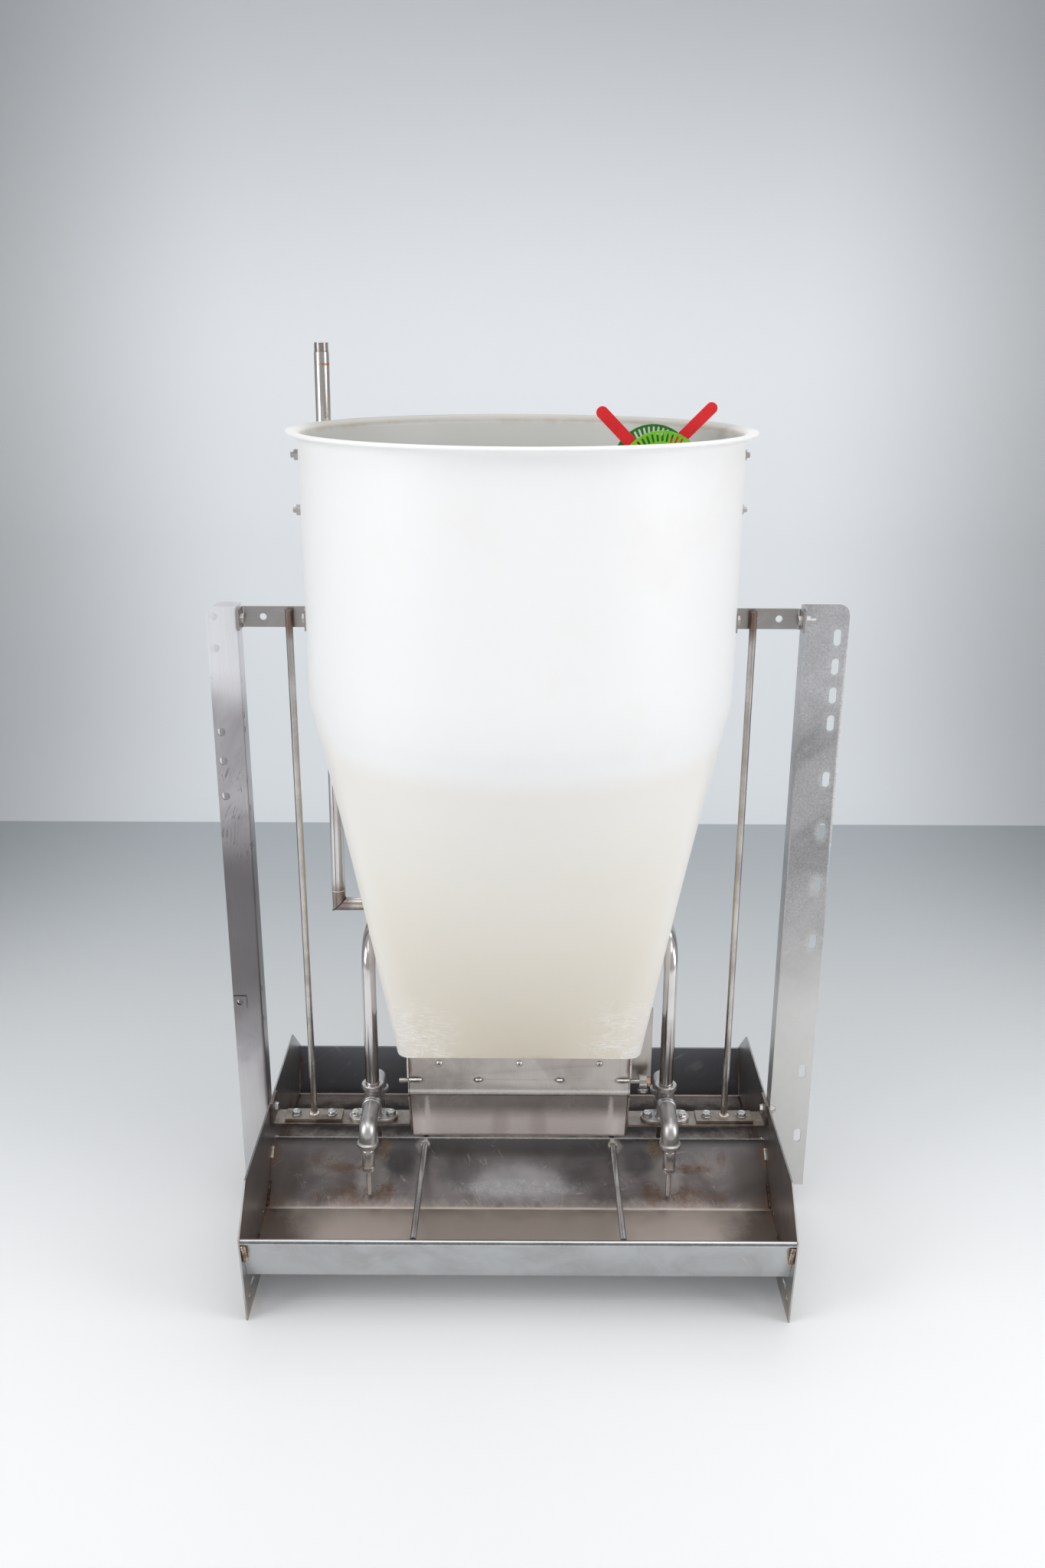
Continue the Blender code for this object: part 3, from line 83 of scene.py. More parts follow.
def makeCamera():
    camera = bpy.data.cameras.new("view")
    camera.sensor_fit = "VERTICAL"
    camera.sensor_height = view["sensor"]
    camera.lens = view["lens"]
    camera.clip_end = view["farthest"]
    holder = bpy.data.objects.new("view", camera)
    tilt = Matrix.Rotation(radians(view["tilt"]), 4, "X")
    roll = Matrix.Rotation(radians(view["roll"]), 4, "Z")
    holder.matrix_world = Matrix.Translation(view["place"]) @ (tilt @ roll)
    scene.collection.objects.link(holder)
    scene.camera = holder


def colourOf(screen):
    # Red, green and blue as a screen shows them, 0 to 255, as the light they stand for
    light = [((c / 255 + 0.055) / 1.055) ** 2.4 if c > 10 else c / 3300 for c in screen]
    return (*light, 1)


# Shader maths: a wrapped socket that takes + - * and so on

class Wire:
    def __init__(self, tree, socket=None):
        self.tree = tree
        self.socket = socket

    def node(self, kind, settings=None, inputs=None, output=0):
        made = self.tree.nodes.new("ShaderNode" + kind)
        for name, value in (settings or {}).items():
            setattr(made, name, value)
        for name, value in (inputs or {}).items():
            if isinstance(value, Wire):
                self.tree.links.new(value.socket, made.inputs[name])
            else:
                made.inputs[name].default_value = value
        return Wire(self.tree, made.outputs[output])

    def maths(self, operation, *values):
        return self.node("Math", {"operation": operation}, dict(enumerate(values)))

    def vector(self, operation, *values, output=0):
        return self.node("VectorMath", {"operation": operation}, dict(enumerate(values)), output)

    def __add__(self, other):
        return self.maths("ADD", self, other)

    def __radd__(self, other):
        return self.maths("ADD", other, self)

    def __sub__(self, other):
        return self.maths("SUBTRACT", self, other)

    def __rsub__(self, other):
        return self.maths("SUBTRACT", other, self)

    def __mul__(self, other):
        return self.maths("MULTIPLY", self, other)

    def __rmul__(self, other):
        return self.maths("MULTIPLY", other, self)

    def __abs__(self):
        return self.maths("ABSOLUTE", self)

    def most(self, other):
        return self.maths("MAXIMUM", self, other)

    def parts(self):
        # The three coordinates of a place
        made = self.node("SeparateXYZ", None, {0: self})
        return [Wire(self.tree, socket) for socket in made.socket.node.outputs]

    def point(self):
        return self.node("TexCoord", output="Object")

    def ramp(self, low, high):
        # 0 below low, 1 above high, soft between
        settings = {"interpolation_type": "SMOOTHSTEP"}
        return self.node("MapRange", settings, {"Value": self, "From Min": low, "From Max": high})

    def noise(self, where, scale, detail=3, rough=0.55, twist=0):
        inputs = {"Vector": where, "Scale": scale, "Detail": detail, "Roughness": rough, "Distortion": twist}
        return self.node("TexNoise", None, inputs)

    def mix(self, low, high):
        # self is the share of the second colour; a colour is a wire or a screen's red, green and blue
        low, high = [one if isinstance(one, Wire) else colourOf(one) for one in (low, high)]
        return self.node("Mix", {"data_type": "RGBA"}, {0: self, 6: low, 7: high}, 2)

    def tone(self, share):
        # A colour made lighter or darker
        return self.node("VectorMath", {"operation": "SCALE"}, {0: self, "Scale": share})


def blank(name):
    material = bpy.data.materials.new(name)
    material.use_nodes = True
    shader = material.node_tree.nodes["Principled BSDF"]
    return material, Wire(material.node_tree), shader


def feed(wire, shader, sockets):
    for name, value in sockets.items():
        if isinstance(value, Wire):
            wire.tree.links.new(value.socket, shader.inputs[name])
        else:
            shader.inputs[name].default_value = value


lineLook = {"stretch": (0.05, 0.4, 1), "patchFrom": (0.54, 0.70)}
markLook = {"ragged": 0.7, "soft": (0.35, 1.0)}


def scratchLines(wire, where, *sets):
    # Thin wandering lines where a stretched noise passes its middle value; a set is scale, width and turn
    lines = []
    for scale, width, turn in sets:
        turned = wire.node("VectorRotate", {"rotation_type": "Y_AXIS"}, {"Vector": where, "Angle": turn})
        long = wire.vector("MULTIPLY", turned, lineLook["stretch"])
        line = abs(wire.noise(long, scale, 0, 0.4) - 0.5).ramp(0, width)
        patch = wire.noise(where, scale * 0.2, 3, 0.7).ramp(*lineLook["patchFrom"])
        lines.append((1 - line) * patch)
    most = lines[0]
    for line in lines[1:]:
        most = most.most(line)
    return most


def blot(wire, where, centre, size):
    # A soft round or long patch with a broken edge
    away = wire.vector("SUBTRACT", where, centre)
    away = wire.vector("MULTIPLY", away, tuple(1 / s for s in size))
    reach = wire.vector("LENGTH", away, output=1)
    rough = wire.noise(where, 0.6 / min(size), 3, 0.7)
    return 1 - (reach + (rough - 0.5) * markLook["ragged"]).ramp(*markLook["soft"])


def folded(wire, where):
    # The place from the feeder's middle: first mirrored both ways, then from left to right only
    x, y, z = where.parts()
    x = abs(x - midX)
    oneRow = wire.node("CombineXYZ", None, {0: x, 1: y, 2: z})
    y = abs(y)
    return wire.node("CombineXYZ", None, {0: x, 1: y, 2: z}), oneRow, y, z


alongX = (6, 900, 900)
alongZ = (900, 900, 6)
alongY = (900, 6, 900)
everyWay = (60, 60, 60)
rustColour = (104, 72, 40)
brownHeat = (112, 84, 66)
# dark heat tint; also painted shadow rings around the collar's button heads
darkHeatAndShade = (58, 48, 50)
# gold heat tint; also painted tan sheen down one side of the stay rods and pipes
goldHeatAndSheen = (190, 160, 100)
feedDust = (150, 122, 92)

plainSteel = {"colour": (192, 189, 186), "cloud": (170, 165, 161), "cloudScale": 9,
              "cloudFrom": (0.38, 0.66), "rough": 0.34, "metal": 1.0, "grain": alongX, "grainRough": 0.16,
              "grainTone": 0.14, "grainBump": 0.6, "fleck": 0.08, "fleckScale": 340, "scratch": 0.4,
              "scratchScale": 70, "scratchColour": (222, 221, 220), "bump": 0.35, "ridgeTo": (0.10, 0.20),
              "gougeFade": 0.08, "gouges": ((150, 0.06, 1.48), (190, 0.07, 1.2), (120, 0.05, 1.75))}
speckleLook = {"scale": 640, "from": (0.44, 0.56), "patchScale": 110, "patchFrom": (0.38, 0.56),
               "least": 0.12}


def steel(name, marks=(), **changes):
    finish = {**plainSteel, **changes}
    material, wire, shader = blank(name)
    where = wire.point()
    bothRows, oneRow, y, z = folded(wire, where)
    grain = wire.noise(wire.vector("MULTIPLY", where, finish["grain"]), 1, 3, 0.6)
    cloud = wire.noise(where, finish["cloudScale"], 5, 0.62, 0.6)
    fleck = wire.noise(where, finish["fleckScale"], 4, 0.8)
    colour = cloud.ramp(*finish["cloudFrom"]).mix(finish["colour"], finish["cloud"])
    scale = finish["scratchScale"]
    line = scratchLines(wire, where, (scale, 0.030, 0.5), (scale * 1.6, 0.035, -0.9)) * finish["scratch"]
    if "ridge" in finish:
        ridge = z.ramp(*finish["ridgeFrom"]) * (1 - y.ramp(*finish["ridgeTo"]))
        colour = ridge.mix(colour, finish["ridge"])
    if "low" in finish:
        colour = (1 - z.ramp(*finish["lowTo"])).mix(colour, finish["low"])
    if "rear" in finish:
        colour = y.ramp(*finish["rearFrom"]).mix(colour, finish["rear"])
    if "lip" in finish:
        colour = z.ramp(*finish["lipFrom"]).mix(colour, finish["lip"])
    colour = (line * 0.75).mix(colour, finish["scratchColour"])
    if "gouge" in finish:
        low, high = finish["gougeFrom"]
        fade = finish["gougeFade"]
        band = z.ramp(low, low + fade) * (1 - z.ramp(high - fade, high))
        gouge = scratchLines(wire, where, *finish["gouges"])
        colour = (gouge * band * 0.8).mix(colour, finish["gouge"])
    roughness = finish["rough"] + (grain - 0.5) * finish["grainRough"] + (cloud - 0.5) * 0.16
    metallic = finish["metal"]
    frost = finish["fleck"]
    if "frostFrom" in finish:
        frost = 0.08 + z.ramp(*finish["frostFrom"]) * finish["fleck"]
    least = speckleLook["least"]
    speckle = wire.noise(where, speckleLook["scale"], 3, 0.7).ramp(*speckleLook["from"])
    speckle = speckle * wire.noise(where, speckleLook["patchScale"], 4, 0.7).ramp(*speckleLook["patchFrom"])
    speckle = speckle * (1 - least) + least
    for mark in marks:
        patch = blot(wire, oneRow if mark["oneRow"] else bothRows, mark["at"], mark["size"]) * mark["share"]
        if mark["speckle"]:
            patch = patch * speckle
        colour = patch.mix(colour, mark["colour"])
        roughness = roughness + patch * mark["dull"]
        metallic = metallic - patch * mark["cover"]
    colour = colour.tone(1.0 + (grain - 0.5) * finish["grainTone"] + (fleck - 0.5) * frost)
    height = grain * finish["grainBump"] + fleck * 0.2 - line * 0.6
    bump = wire.node("Bump", None, {"Strength": finish["bump"], "Distance": 0.0002, "Height": height})
    feed(wire, shader, {"Base Color": colour, "Roughness": roughness + line * 0.15, "Metallic": metallic,
                        "Normal": bump})
    return material


def spot(at, size, share, colour, cover, dull=0.2, speckle=False, oneRow=False):
    # A mark on both rows, measured from the middle; cover hides the metal, dull adds roughness
    return {"at": at, "size": size, "share": share, "colour": colour, "cover": cover, "dull": dull,
            "speckle": speckle, "oneRow": oneRow}


def rowSpot(*parts, **more):
    # A mark on one row: the front one where y is less than 0
    return spot(*parts, oneRow=True, **more)


def rust(at, size, share):
    return rowSpot(at, size, share, rustColour, 0.8, speckle=True)


# What touches the pen's floor, feed and water, where the welds heated it, and painted shade, painted
# highlights and painted reflections where light falls

drinkerX = abs(boxMiddle("drinker_tee_left").x - midX)
dividerX = abs(boxMiddle("divider_rod_front_left").x - midX)
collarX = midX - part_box("collar_end_left")[0].x
lipTop = panHigh.z
troughMarks = [
    # painted highlight: a faint bluish lighter band across the middle of the front slope
    rowSpot((0, -0.06, 0.095), (0.11, 0.06, 0.03), 0.35, (168, 166, 170), 0, dull=0),
    # painted shade: a dark patch on the front slope beside the divider
    rowSpot((dividerX - 0.055, -0.045, 0.108), (0.045, 0.06, 0.035), 0.5, (66, 62, 63), 0, dull=0),
    # painted shade: the front slope darkened next to the end plate
    rowSpot((0.375, -0.04, 0.1), (0.07, 0.1, 0.06), 0.7, (62, 56, 53), 0, dull=0),
    # painted highlight: a bright wedge on the slope around the drinker
    rowSpot((drinkerX, -0.05, 0.1), (0.034, 0.05, 0.046), 0.3, (206, 202, 198), 0.1),
    # painted shade: a darker patch of reflection beside the drinker's bright wedge
    rowSpot((drinkerX - 0.045, -0.03, 0.115), (0.03, 0.04, 0.024), 0.5, (66, 64, 66), 0),
    rowSpot((drinkerX + 0.07, -0.03, 0.11), (0.04, 0.04, 0.02), 0.35, (150, 140, 130), 0.1, speckle=True),
    # painted highlight: a bright line along the ridge's fold
    spot((0.2, 0, 0.139), (0.6, 0.0024, 0.005), 0.9, (244, 244, 242), 0.1),
    rust((drinkerX + 0.03, -0.07, 0.08), (0.04, 0.03, 0.016), 1.0),
    rust((drinkerX - 0.02, -0.068, 0.084), (0.026, 0.03, 0.018), 1.0),
    rust((drinkerX + 0.072, -0.068, 0.079), (0.034, 0.03, 0.01), 0.6),
    rowSpot((drinkerX + 0.04, -0.038, 0.108), (0.04, 0.02, 0.007), 0.9, rustColour, 0.7, speckle=True),
    rowSpot((drinkerX + 0.088, -0.026, 0.12), (0.01, 0.02, 0.018), 0.5, rustColour, 0.7, speckle=True),
    rowSpot((drinkerX - 0.016, -0.014, 0.128), (0.016, 0.03, 0.022), 0.6, (160, 132, 96), 0.5, speckle=True),
    # painted shade: the rear floor darkened
    rowSpot((0.19, 0.163, 0.069), (0.6, 0.085, 0.02), 0.95, (62, 60, 61), 0.0),
    rowSpot((0.1, -0.163, 0.069), (0.6, 0.11, 0.02), 0.7, (178, 165, 157), 0.75, dull=0.1),
    rowSpot((0.24, -0.163, 0.069), (0.11, 0.12, 0.03), 0.35, (226, 210, 200), 0.3, dull=0),
    # painted shade: the front floor darkened next to the end plate
    rowSpot((0.385, -0.163, 0.069), (0.1, 0.12, 0.03), 0.85, (88, 74, 64), 0, dull=0),
    rowSpot((dividerX + 0.004, -0.012, 0.132), (0.014, 0.014, 0.016), 0.5, (206, 200, 194), 0.1),
    rust((drinkerX, 0.07, 0.09), (0.06, 0.03, 0.03), 0.9),
    spot((0, 0.062, 0.09), (0.14, 0.02, 0.014), 0.25, (206, 206, 208), 0.2, speckle=True),
    spot((0.06, 0.21, 0.069), (0.1, 0.03, 0.02), 0.55, (214, 210, 206), 0.2, speckle=True),
    # painted highlight: a thin light line along the rear crease
    spot((0.2, 0.0885, 0.069), (0.4, 0.0012, 0.006), 0.4, (212, 210, 208), 0),
    spot((0.386, 0.02, 0.12), (0.012, 0.03, 0.03), 0.6, brownHeat, 0.2),
    spot((0.386, 0.09, 0.07), (0.012, 0.05, 0.02), 0.6, brownHeat, 0.3),
    spot((0.386, 0.25, 0.11), (0.01, 0.02, 0.05), 0.5, brownHeat, 0.3),
]
apronMarks = [
    # painted shade: a dark band across the hem under its bright top
    spot((0.2, 0.27, lipTop - 0.0034), (0.7, 0.02, 0.0024), 0.8, (84, 84, 87), 0),
    spot((dividerX - 0.007, 0.27, 0.1375), (0.009, 0.02, 0.0045), 0.85, darkHeatAndShade, 0.2),
    spot((dividerX + 0.009, 0.27, 0.138), (0.008, 0.02, 0.004), 0.8, darkHeatAndShade, 0.2),
    spot((0.386, 0.262, 0.125), (0.012, 0.02, 0.03), 0.6, brownHeat, 0.2),
    spot((0.24, 0.271, 0.141), (0.03, 0.01, 0.003), 0.4, rustColour, 0.3, speckle=True),
]
collarMarks = [
    spot((0.06, 0.09, 0.296), (0.011, 0.01, 0.006), 0.9, darkHeatAndShade, 0.2),
    spot((0.154, 0.09, 0.296), (0.017, 0.01, 0.007), 0.9, darkHeatAndShade, 0.2),
    spot((0.163, 0.09, 0.318), (0.006, 0.02, 0.024), 0.7, brownHeat, 0.2),
    # painted highlight: a bright band along the collar's lower return lip
    spot((0, 0.09, 0.277), (0.5, 0.01, 0.004), 0.6, (250, 248, 244), 0.1),
    # painted shade: a dark line for the gap between collar and gate
    spot((0, 0.09, 0.2685), (0.5, 0.01, 0.003), 0.9, (34, 32, 32), 0.1),
    # painted shadow rings on the collar around the button heads
    spot((0.118, 0.09, 0.323), (0.0066, 0.01, 0.0066), 0.7, darkHeatAndShade, 0),
    spot((0, 0.09, 0.323), (0.0066, 0.01, 0.0066), 0.7, darkHeatAndShade, 0),
]
gateMarks = [
    spot((0.138, 0.075, 0.22), (0.006, 0.06, 0.06), 0.7, (244, 240, 236), 0),
    spot((0.03, 0.07, 0.2), (0.02, 0.06, 0.06), 0.2, brownHeat, 0.1),
    spot((0, 0.05, 0.176), (0.3, 0.01, 0.004), 0.6, brownHeat, 0.2),
]
plateMarks = [
    spot((0.39, 0.09, 0.1), (0.02, 0.1, 0.03), 0.5, brownHeat, 0.2),
    spot((0.39, 0.235, 0.026), (0.02, 0.03, 0.03), 0.5, feedDust, 0.4),
]
stayMarks = [
    # painted sheen: a tan streak down one side of the stay rod
    spot((0.317, -0.004, 0.6), (0.005, 0.01, 0.42), 0.4, goldHeatAndSheen, 0),
    spot((0.322, 0.004, 0.965), (0.02, 0.02, 0.035), 0.8, brownHeat, 0.1),
    spot((0.322, 0.004, 0.19), (0.02, 0.02, 0.01), 0.5, brownHeat, 0.1),
]
pipeMarks = [
    # painted sheen: a tan streak down one side of the drop pipe
    spot((drinkerX - 0.0105, 0.1, 0.33), (0.01, 0.1, 0.17), 0.3, goldHeatAndSheen, 0),
    # painted sheen: a tan streak down the inner side of the drop pipe
    spot((0.273, 0.158, 0.9), (0.012, 0.03, 0.46), 0.5, goldHeatAndSheen, 0),
    spot((0.28, 0.158, 1.3015), (0.014, 0.02, 0.003), 0.9, (176, 112, 56), 0.3),
    spot((drinkerX, 0.12, 0.47), (0.05, 0.06, 0.03), 0.5, goldHeatAndSheen, 0),
    spot((0.292, 0.158, 0.48), (0.03, 0.03, 0.04), 0.7, brownHeat, 0),
]
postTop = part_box("post_right")[1].z
# painted light: lighter patches at each slot of the right post
slotDrops = {0.047: 0.2, 0.089: 0.2, 0.131: 0.2, 0.172: 0.2, 0.257: 0.6, 0.337: 0.6, 0.424: 0.7, 0.516: 0.7}
rightPostMarks = [
    spot((0.4423, 0.022, postTop - drop), (0.014, 0.03, 0.024), share, (208, 207, 205), 0.2, dull=0.1)
    for drop, share in slotDrops.items()
]
rightPostMarks += [
    # painted highlight: a bright line down the flange's edge
    spot((0.459, 0.022, 0.75), (0.004, 0.03, 0.26), 0.7, (240, 239, 238), 0.2, dull=0.1),
    # painted highlight: the top of the post lighter
    spot((0.44, 0.022, 0.93), (0.3, 0.2, 0.16), 0.35, (236, 236, 240), 0.2, dull=0),
]
leftPostMarks = [
    # painted reflection: a dark band across the middle of the left post
    rowSpot((0.42, -0.014, 0.5), (0.3, 0.2, 0.22), 0.95, (112, 108, 110), 0, dull=0),
    # painted reflection: the top of the left post lighter
    rowSpot((0.42, -0.014, 0.95), (0.3, 0.2, 0.13), 0.9, (246, 246, 250), 0.3, dull=0.1),
    spot((0.4, -0.014, 0.82), (0.012, 0.02, 0.16), 0.25, (214, 212, 214), 0.1),
    spot((0.43, -0.014, 0.56), (0.006, 0.02, 0.1), 0.6, darkHeatAndShade, 0.3, speckle=True),
    spot((0.41, -0.014, 0.604), (0.03, 0.03, 0.018), 0.2, brownHeat, 0),
]
print("shader parts ready")


plasticLook = {"cloudScale": 30, "skinScale": 1400, "scratches": ((30, 0.010, 0.8), (46, 0.010, -0.4))}


def plastic(name, colour, cloud, rough, scratch, scratchColour):
    material, wire, shader = blank(name)
    where = wire.point()
    patchy = wire.noise(where, plasticLook["cloudScale"], 4, 0.6)
    skin = wire.noise(where, plasticLook["skinScale"], 2, 0.6)
    line = scratchLines(wire, where, *plasticLook["scratches"]) * scratch
    paint = line.mix(patchy.ramp(0.35, 0.7).mix(colour, cloud), scratchColour)
    bump = wire.node("Bump", None, {"Strength": 0.2, "Distance": 0.0001, "Height": skin - line})
    feed(wire, shader, {"Base Color": paint, "Roughness": rough + (patchy - 0.5) * 0.12 + line * 0.2,
                        "Normal": bump})
    return material


hopperFinish = {"colour": (249, 249, 249), "lower": (230, 222, 205), "inner": (190, 190, 184),
                "lip": (184, 180, 172), "dirt": (176, 156, 128), "scratch": (252, 252, 250),
                "rough": 0.42, "cloudScale": 5, "skinScale": 900, "dustScale": 40, "mouthScale": 24,
                "lowerTop": (0.455, 0.505), "deeperTop": (-0.05, 0.50), "cornerTop": (0.02, 0.13),
                "cornerX": (0.06, 0.15), "dustTop": (-0.01, 0.012), "wallAt": (0.2895, 0.2935),
                "innerFrom": (0.9, 1.0), "mouthFrom": (1.210, 1.222), "lipFrom": (1.214, 1.219),
                "lipBack": (-0.06, 0.14),
                "scratches": ((150, 0.05, 0.5), (210, 0.05, -0.35), (180, 0.05, 1.2))}


def hopperPlastic():
    # Milk white above; the tapered lower part creamy and darker towards the foot, painted shade and painted
    # warm reflection; rubbed at the lower corners
    look = hopperFinish
    material, wire, shader = blank("whiteHopperPlastic")
    where = wire.point()
    x, y, z = where.parts()
    x = abs(x - midX)
    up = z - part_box("hopper")[0].z
    cloud = wire.noise(where, look["cloudScale"], 4, 0.6)
    skin = wire.noise(where, look["skinScale"], 3, 0.6)
    # painted shade and painted warm reflection: the tapered lower part creamy, darker towards the foot
    lower = 1 - (up + (cloud - 0.5) * 0.03).ramp(*look["lowerTop"])
    deeper = 1 - up.ramp(*look["deeperTop"])
    colour = (lower * (0.35 + deeper * 0.65)).mix(look["colour"], look["lower"])
    # painted light: the sides of the lower part made white again
    edge = (x - 0.155 - up * 0.22).ramp(-0.04, 0.03)
    colour = (edge * lower * 0.45).mix(colour, look["colour"])
    colour = (cloud.ramp(0.5, 0.8) * 0.2).mix(colour, look["lower"])
    corner = (1 - up.ramp(*look["cornerTop"])) * x.ramp(*look["cornerX"])
    dust = (1 - up.ramp(*look["dustTop"])) * wire.noise(where, look["dustScale"], 4, 0.7).ramp(0.4, 0.7)
    flat = wire.vector("MULTIPLY", wire.vector("SUBTRACT", where, (midX, 0, 0)), (1, 1, 0))
    inside = 1 - wire.vector("LENGTH", flat, output=1).ramp(*look["wallAt"])
    mouth = z.ramp(*look["mouthFrom"]) * inside
    mouth = mouth * wire.noise(where, look["mouthScale"], 5, 0.7).ramp(0.42, 0.62)
    # painted shade: the rim's top darker at the rear
    lip = z.ramp(*look["lipFrom"]) * y.ramp(*look["lipBack"])
    # painted shade: the inside wall greyer near the top
    colour = (inside * z.ramp(*look["innerFrom"]) * 0.7).mix(colour, look["inner"])
    colour = (lip * 0.85).mix(colour, look["lip"])
    colour = (dust * 0.5).most(mouth * 0.55).mix(colour, look["dirt"])
    streak = wire.noise(wire.vector("MULTIPLY", where, (70, 70, 520)), 1, 3, 0.7).ramp(0.44, 0.60)
    rubbed = streak * corner * wire.noise(where, 30, 3, 0.7).ramp(0.36, 0.56)
    colour = (rubbed * 0.8).mix(colour, look["scratch"])
    line = scratchLines(wire, where, *look["scratches"]) * (0.06 + corner * 0.94)
    colour = line.mix(colour, look["scratch"])
    height = skin * 0.5 + wire.noise(where, 12, 3) * 4 - line * 0.8 - rubbed * 0.8
    bump = wire.node("Bump", None, {"Strength": 0.25, "Distance": 0.0004, "Height": height})
    roughness = look["rough"] + (cloud - 0.5) * 0.15 + line * 0.2
    feed(wire, shader, {"Base Color": colour, "Roughness": roughness, "Normal": bump,
                        "Subsurface Weight": 0.06, "Subsurface Radius": (0.02, 0.018, 0.015),
                        "Subsurface Scale": 0.1})
    return material


finishes = {
    "hopper": hopperPlastic(),
    # trough: the ridge colour is painted shade, darkening the slopes towards the ridge's top
    "trough": steel("warmTroughSteel", troughMarks, colour=(102, 97, 97), cloud=(80, 75, 74), rough=0.38,
        cloudScale=8, scratch=0.3, ridge=(92, 89, 90), ridgeFrom=(0.112, 0.138), low=(182, 170, 162),
        lowTo=(0.069, 0.072), rear=(134, 136, 142), rearFrom=(0.236, 0.246)),
    # apron: the lip colour is a painted highlight along the top of the hem
    "apron": steel("apronSteel", apronMarks, colour=(192, 194, 195), cloud=(176, 177, 178),
        lip=(244, 244, 244), lipFrom=(lipTop - 0.0012, lipTop - 0.0003)),
    "plate": steel("endPlateSteel", plateMarks, colour=(186, 184, 183), grain=alongY),
    "collar": steel("collarSteel", collarMarks, colour=(190, 184, 179), cloud=(168, 160, 154),
        grain=alongZ, grainTone=0.2),
    "gate": steel("gateSteel", gateMarks, colour=(172, 168, 166), cloud=(150, 145, 143),
        low=(242, 239, 238), lowTo=(0.205, 0.245), grain=alongZ, grainTone=0.3, metal=0.8, rough=0.40),
    "bar": steel("barSteel", colour=(166, 157, 149), cloud=(126, 114, 105), cloudScale=24, rough=0.42),
    "stay": steel("stayRodSteel", stayMarks, colour=(204, 200, 196), grain=alongZ, rough=0.26, scratch=0.2),
    "rod": steel("dividerRodSteel", colour=(226, 223, 220), grain=alongY, rough=0.22, scratch=0,
        grainBump=0.2, metal=0.9),
    # left post: the lighter bottom (low) is painted reflection, like the dark middle and light top in
    # leftPostMarks
    "leftPost": steel("leftPostSteel", leftPostMarks, colour=(190, 187, 190), cloud=(166, 162, 166),
        grain=alongZ, cloudScale=7, scratch=0.5, scratchColour=(214, 212, 214), low=(206, 205, 206),
        lowTo=(0.18, 0.30), gouge=(66, 62, 66), gougeFrom=(0.42, 0.80)),
    "rightPost": steel("rightPostSteel", rightPostMarks, colour=(184, 183, 184), cloud=(160, 159, 160),
        grain=everyWay, fleck=1.1, rough=0.44, scratch=0.4, low=(214, 213, 211), lowTo=(0.34, 0.52),
        frostFrom=(0.40, 0.56)),
    "pipe": steel("pipeSteel", pipeMarks, colour=(222, 219, 218), cloud=(204, 199, 196), grain=alongZ,
        rough=0.2, scratch=0.2, grainTone=0.1),
    "drinker": steel("castDrinkerSteel", colour=(208, 206, 205), cloud=(186, 182, 179), grain=everyWay,
        rough=0.36, grainBump=1.2, scratch=0.2, metal=0.9),
    "bolt": steel("boltSteel", colour=(204, 202, 200), rough=0.26, grain=everyWay, scratch=0, metal=0.95),
    "nipple": steel("nippleSteel", colour=(230, 228, 226), rough=0.24, grain=everyWay, scratch=0,
        grainBump=0.1, metal=0.8),
    "weld": steel("weldSteel", colour=(240, 239, 236), cloud=(206, 198, 188), cloudScale=60, rough=0.24,
        grain=everyWay, grainBump=2.0, metal=0.75),
    "brownWeld": steel("brownWeldSteel", colour=(176, 160, 144), cloud=(122, 98, 80), cloudScale=80,
        rough=0.34, grain=everyWay, grainBump=2.0),
    "rusty": steel("rustyScrewSteel", colour=(196, 170, 148), cloud=(168, 106, 62), cloudScale=160,
        rough=0.5, grain=everyWay, grainBump=2.0, metal=0.5),
    "burntWeld": steel("darkWeldAndShadeSteel", colour=(74, 66, 64), cloud=(120, 98, 84), cloudScale=60,
        rough=0.4, grain=everyWay, grainBump=2.0),
    "strip": steel("topStripSteel", colour=(180, 178, 178), rough=0.32),
    "red": plastic("redLeverPlastic", colour=(238, 40, 48), cloud=(222, 32, 40), rough=0.28, scratch=0.35,
        scratchColour=(238, 120, 120)),
    "lime": plastic("limeDiscPlastic", colour=(136, 212, 48), cloud=(118, 196, 40), rough=0.34,
        scratch=0.4, scratchColour=(190, 228, 140)),
    "green": plastic("greenDiscPlastic", colour=(46, 128, 36), cloud=(36, 110, 30), rough=0.36,
        scratch=0.4, scratchColour=(120, 180, 110)),
}
print("materials ready:", len(finishes))


# Shapes

def bridge(shape, rings, loop=False):
    # Faces between one ring of points and the next; a ring of one point closes to a tip
    following = rings[1:] + rings[:1] if loop else rings[1:]
    for one, two in zip(rings, following):
        for k in range(max(len(one), len(two))):
            after = k + 1
            corners = [one[k % len(one)], one[after % len(one)], two[after % len(two)], two[k % len(two)]]
            corners = list(dict.fromkeys(corners))
            if len(corners) > 2:
                shape.faces.new(corners)


def spokesOf(axis, angles):
    # Directions square to an axis
    first = axis.orthogonal().normalized()
    across = axis.cross(first)
    return [first * cos(angle) + across * sin(angle) for angle in angles]


def fullTurn(sides):
    return [2 * pi * k / sides for k in range(sides)]


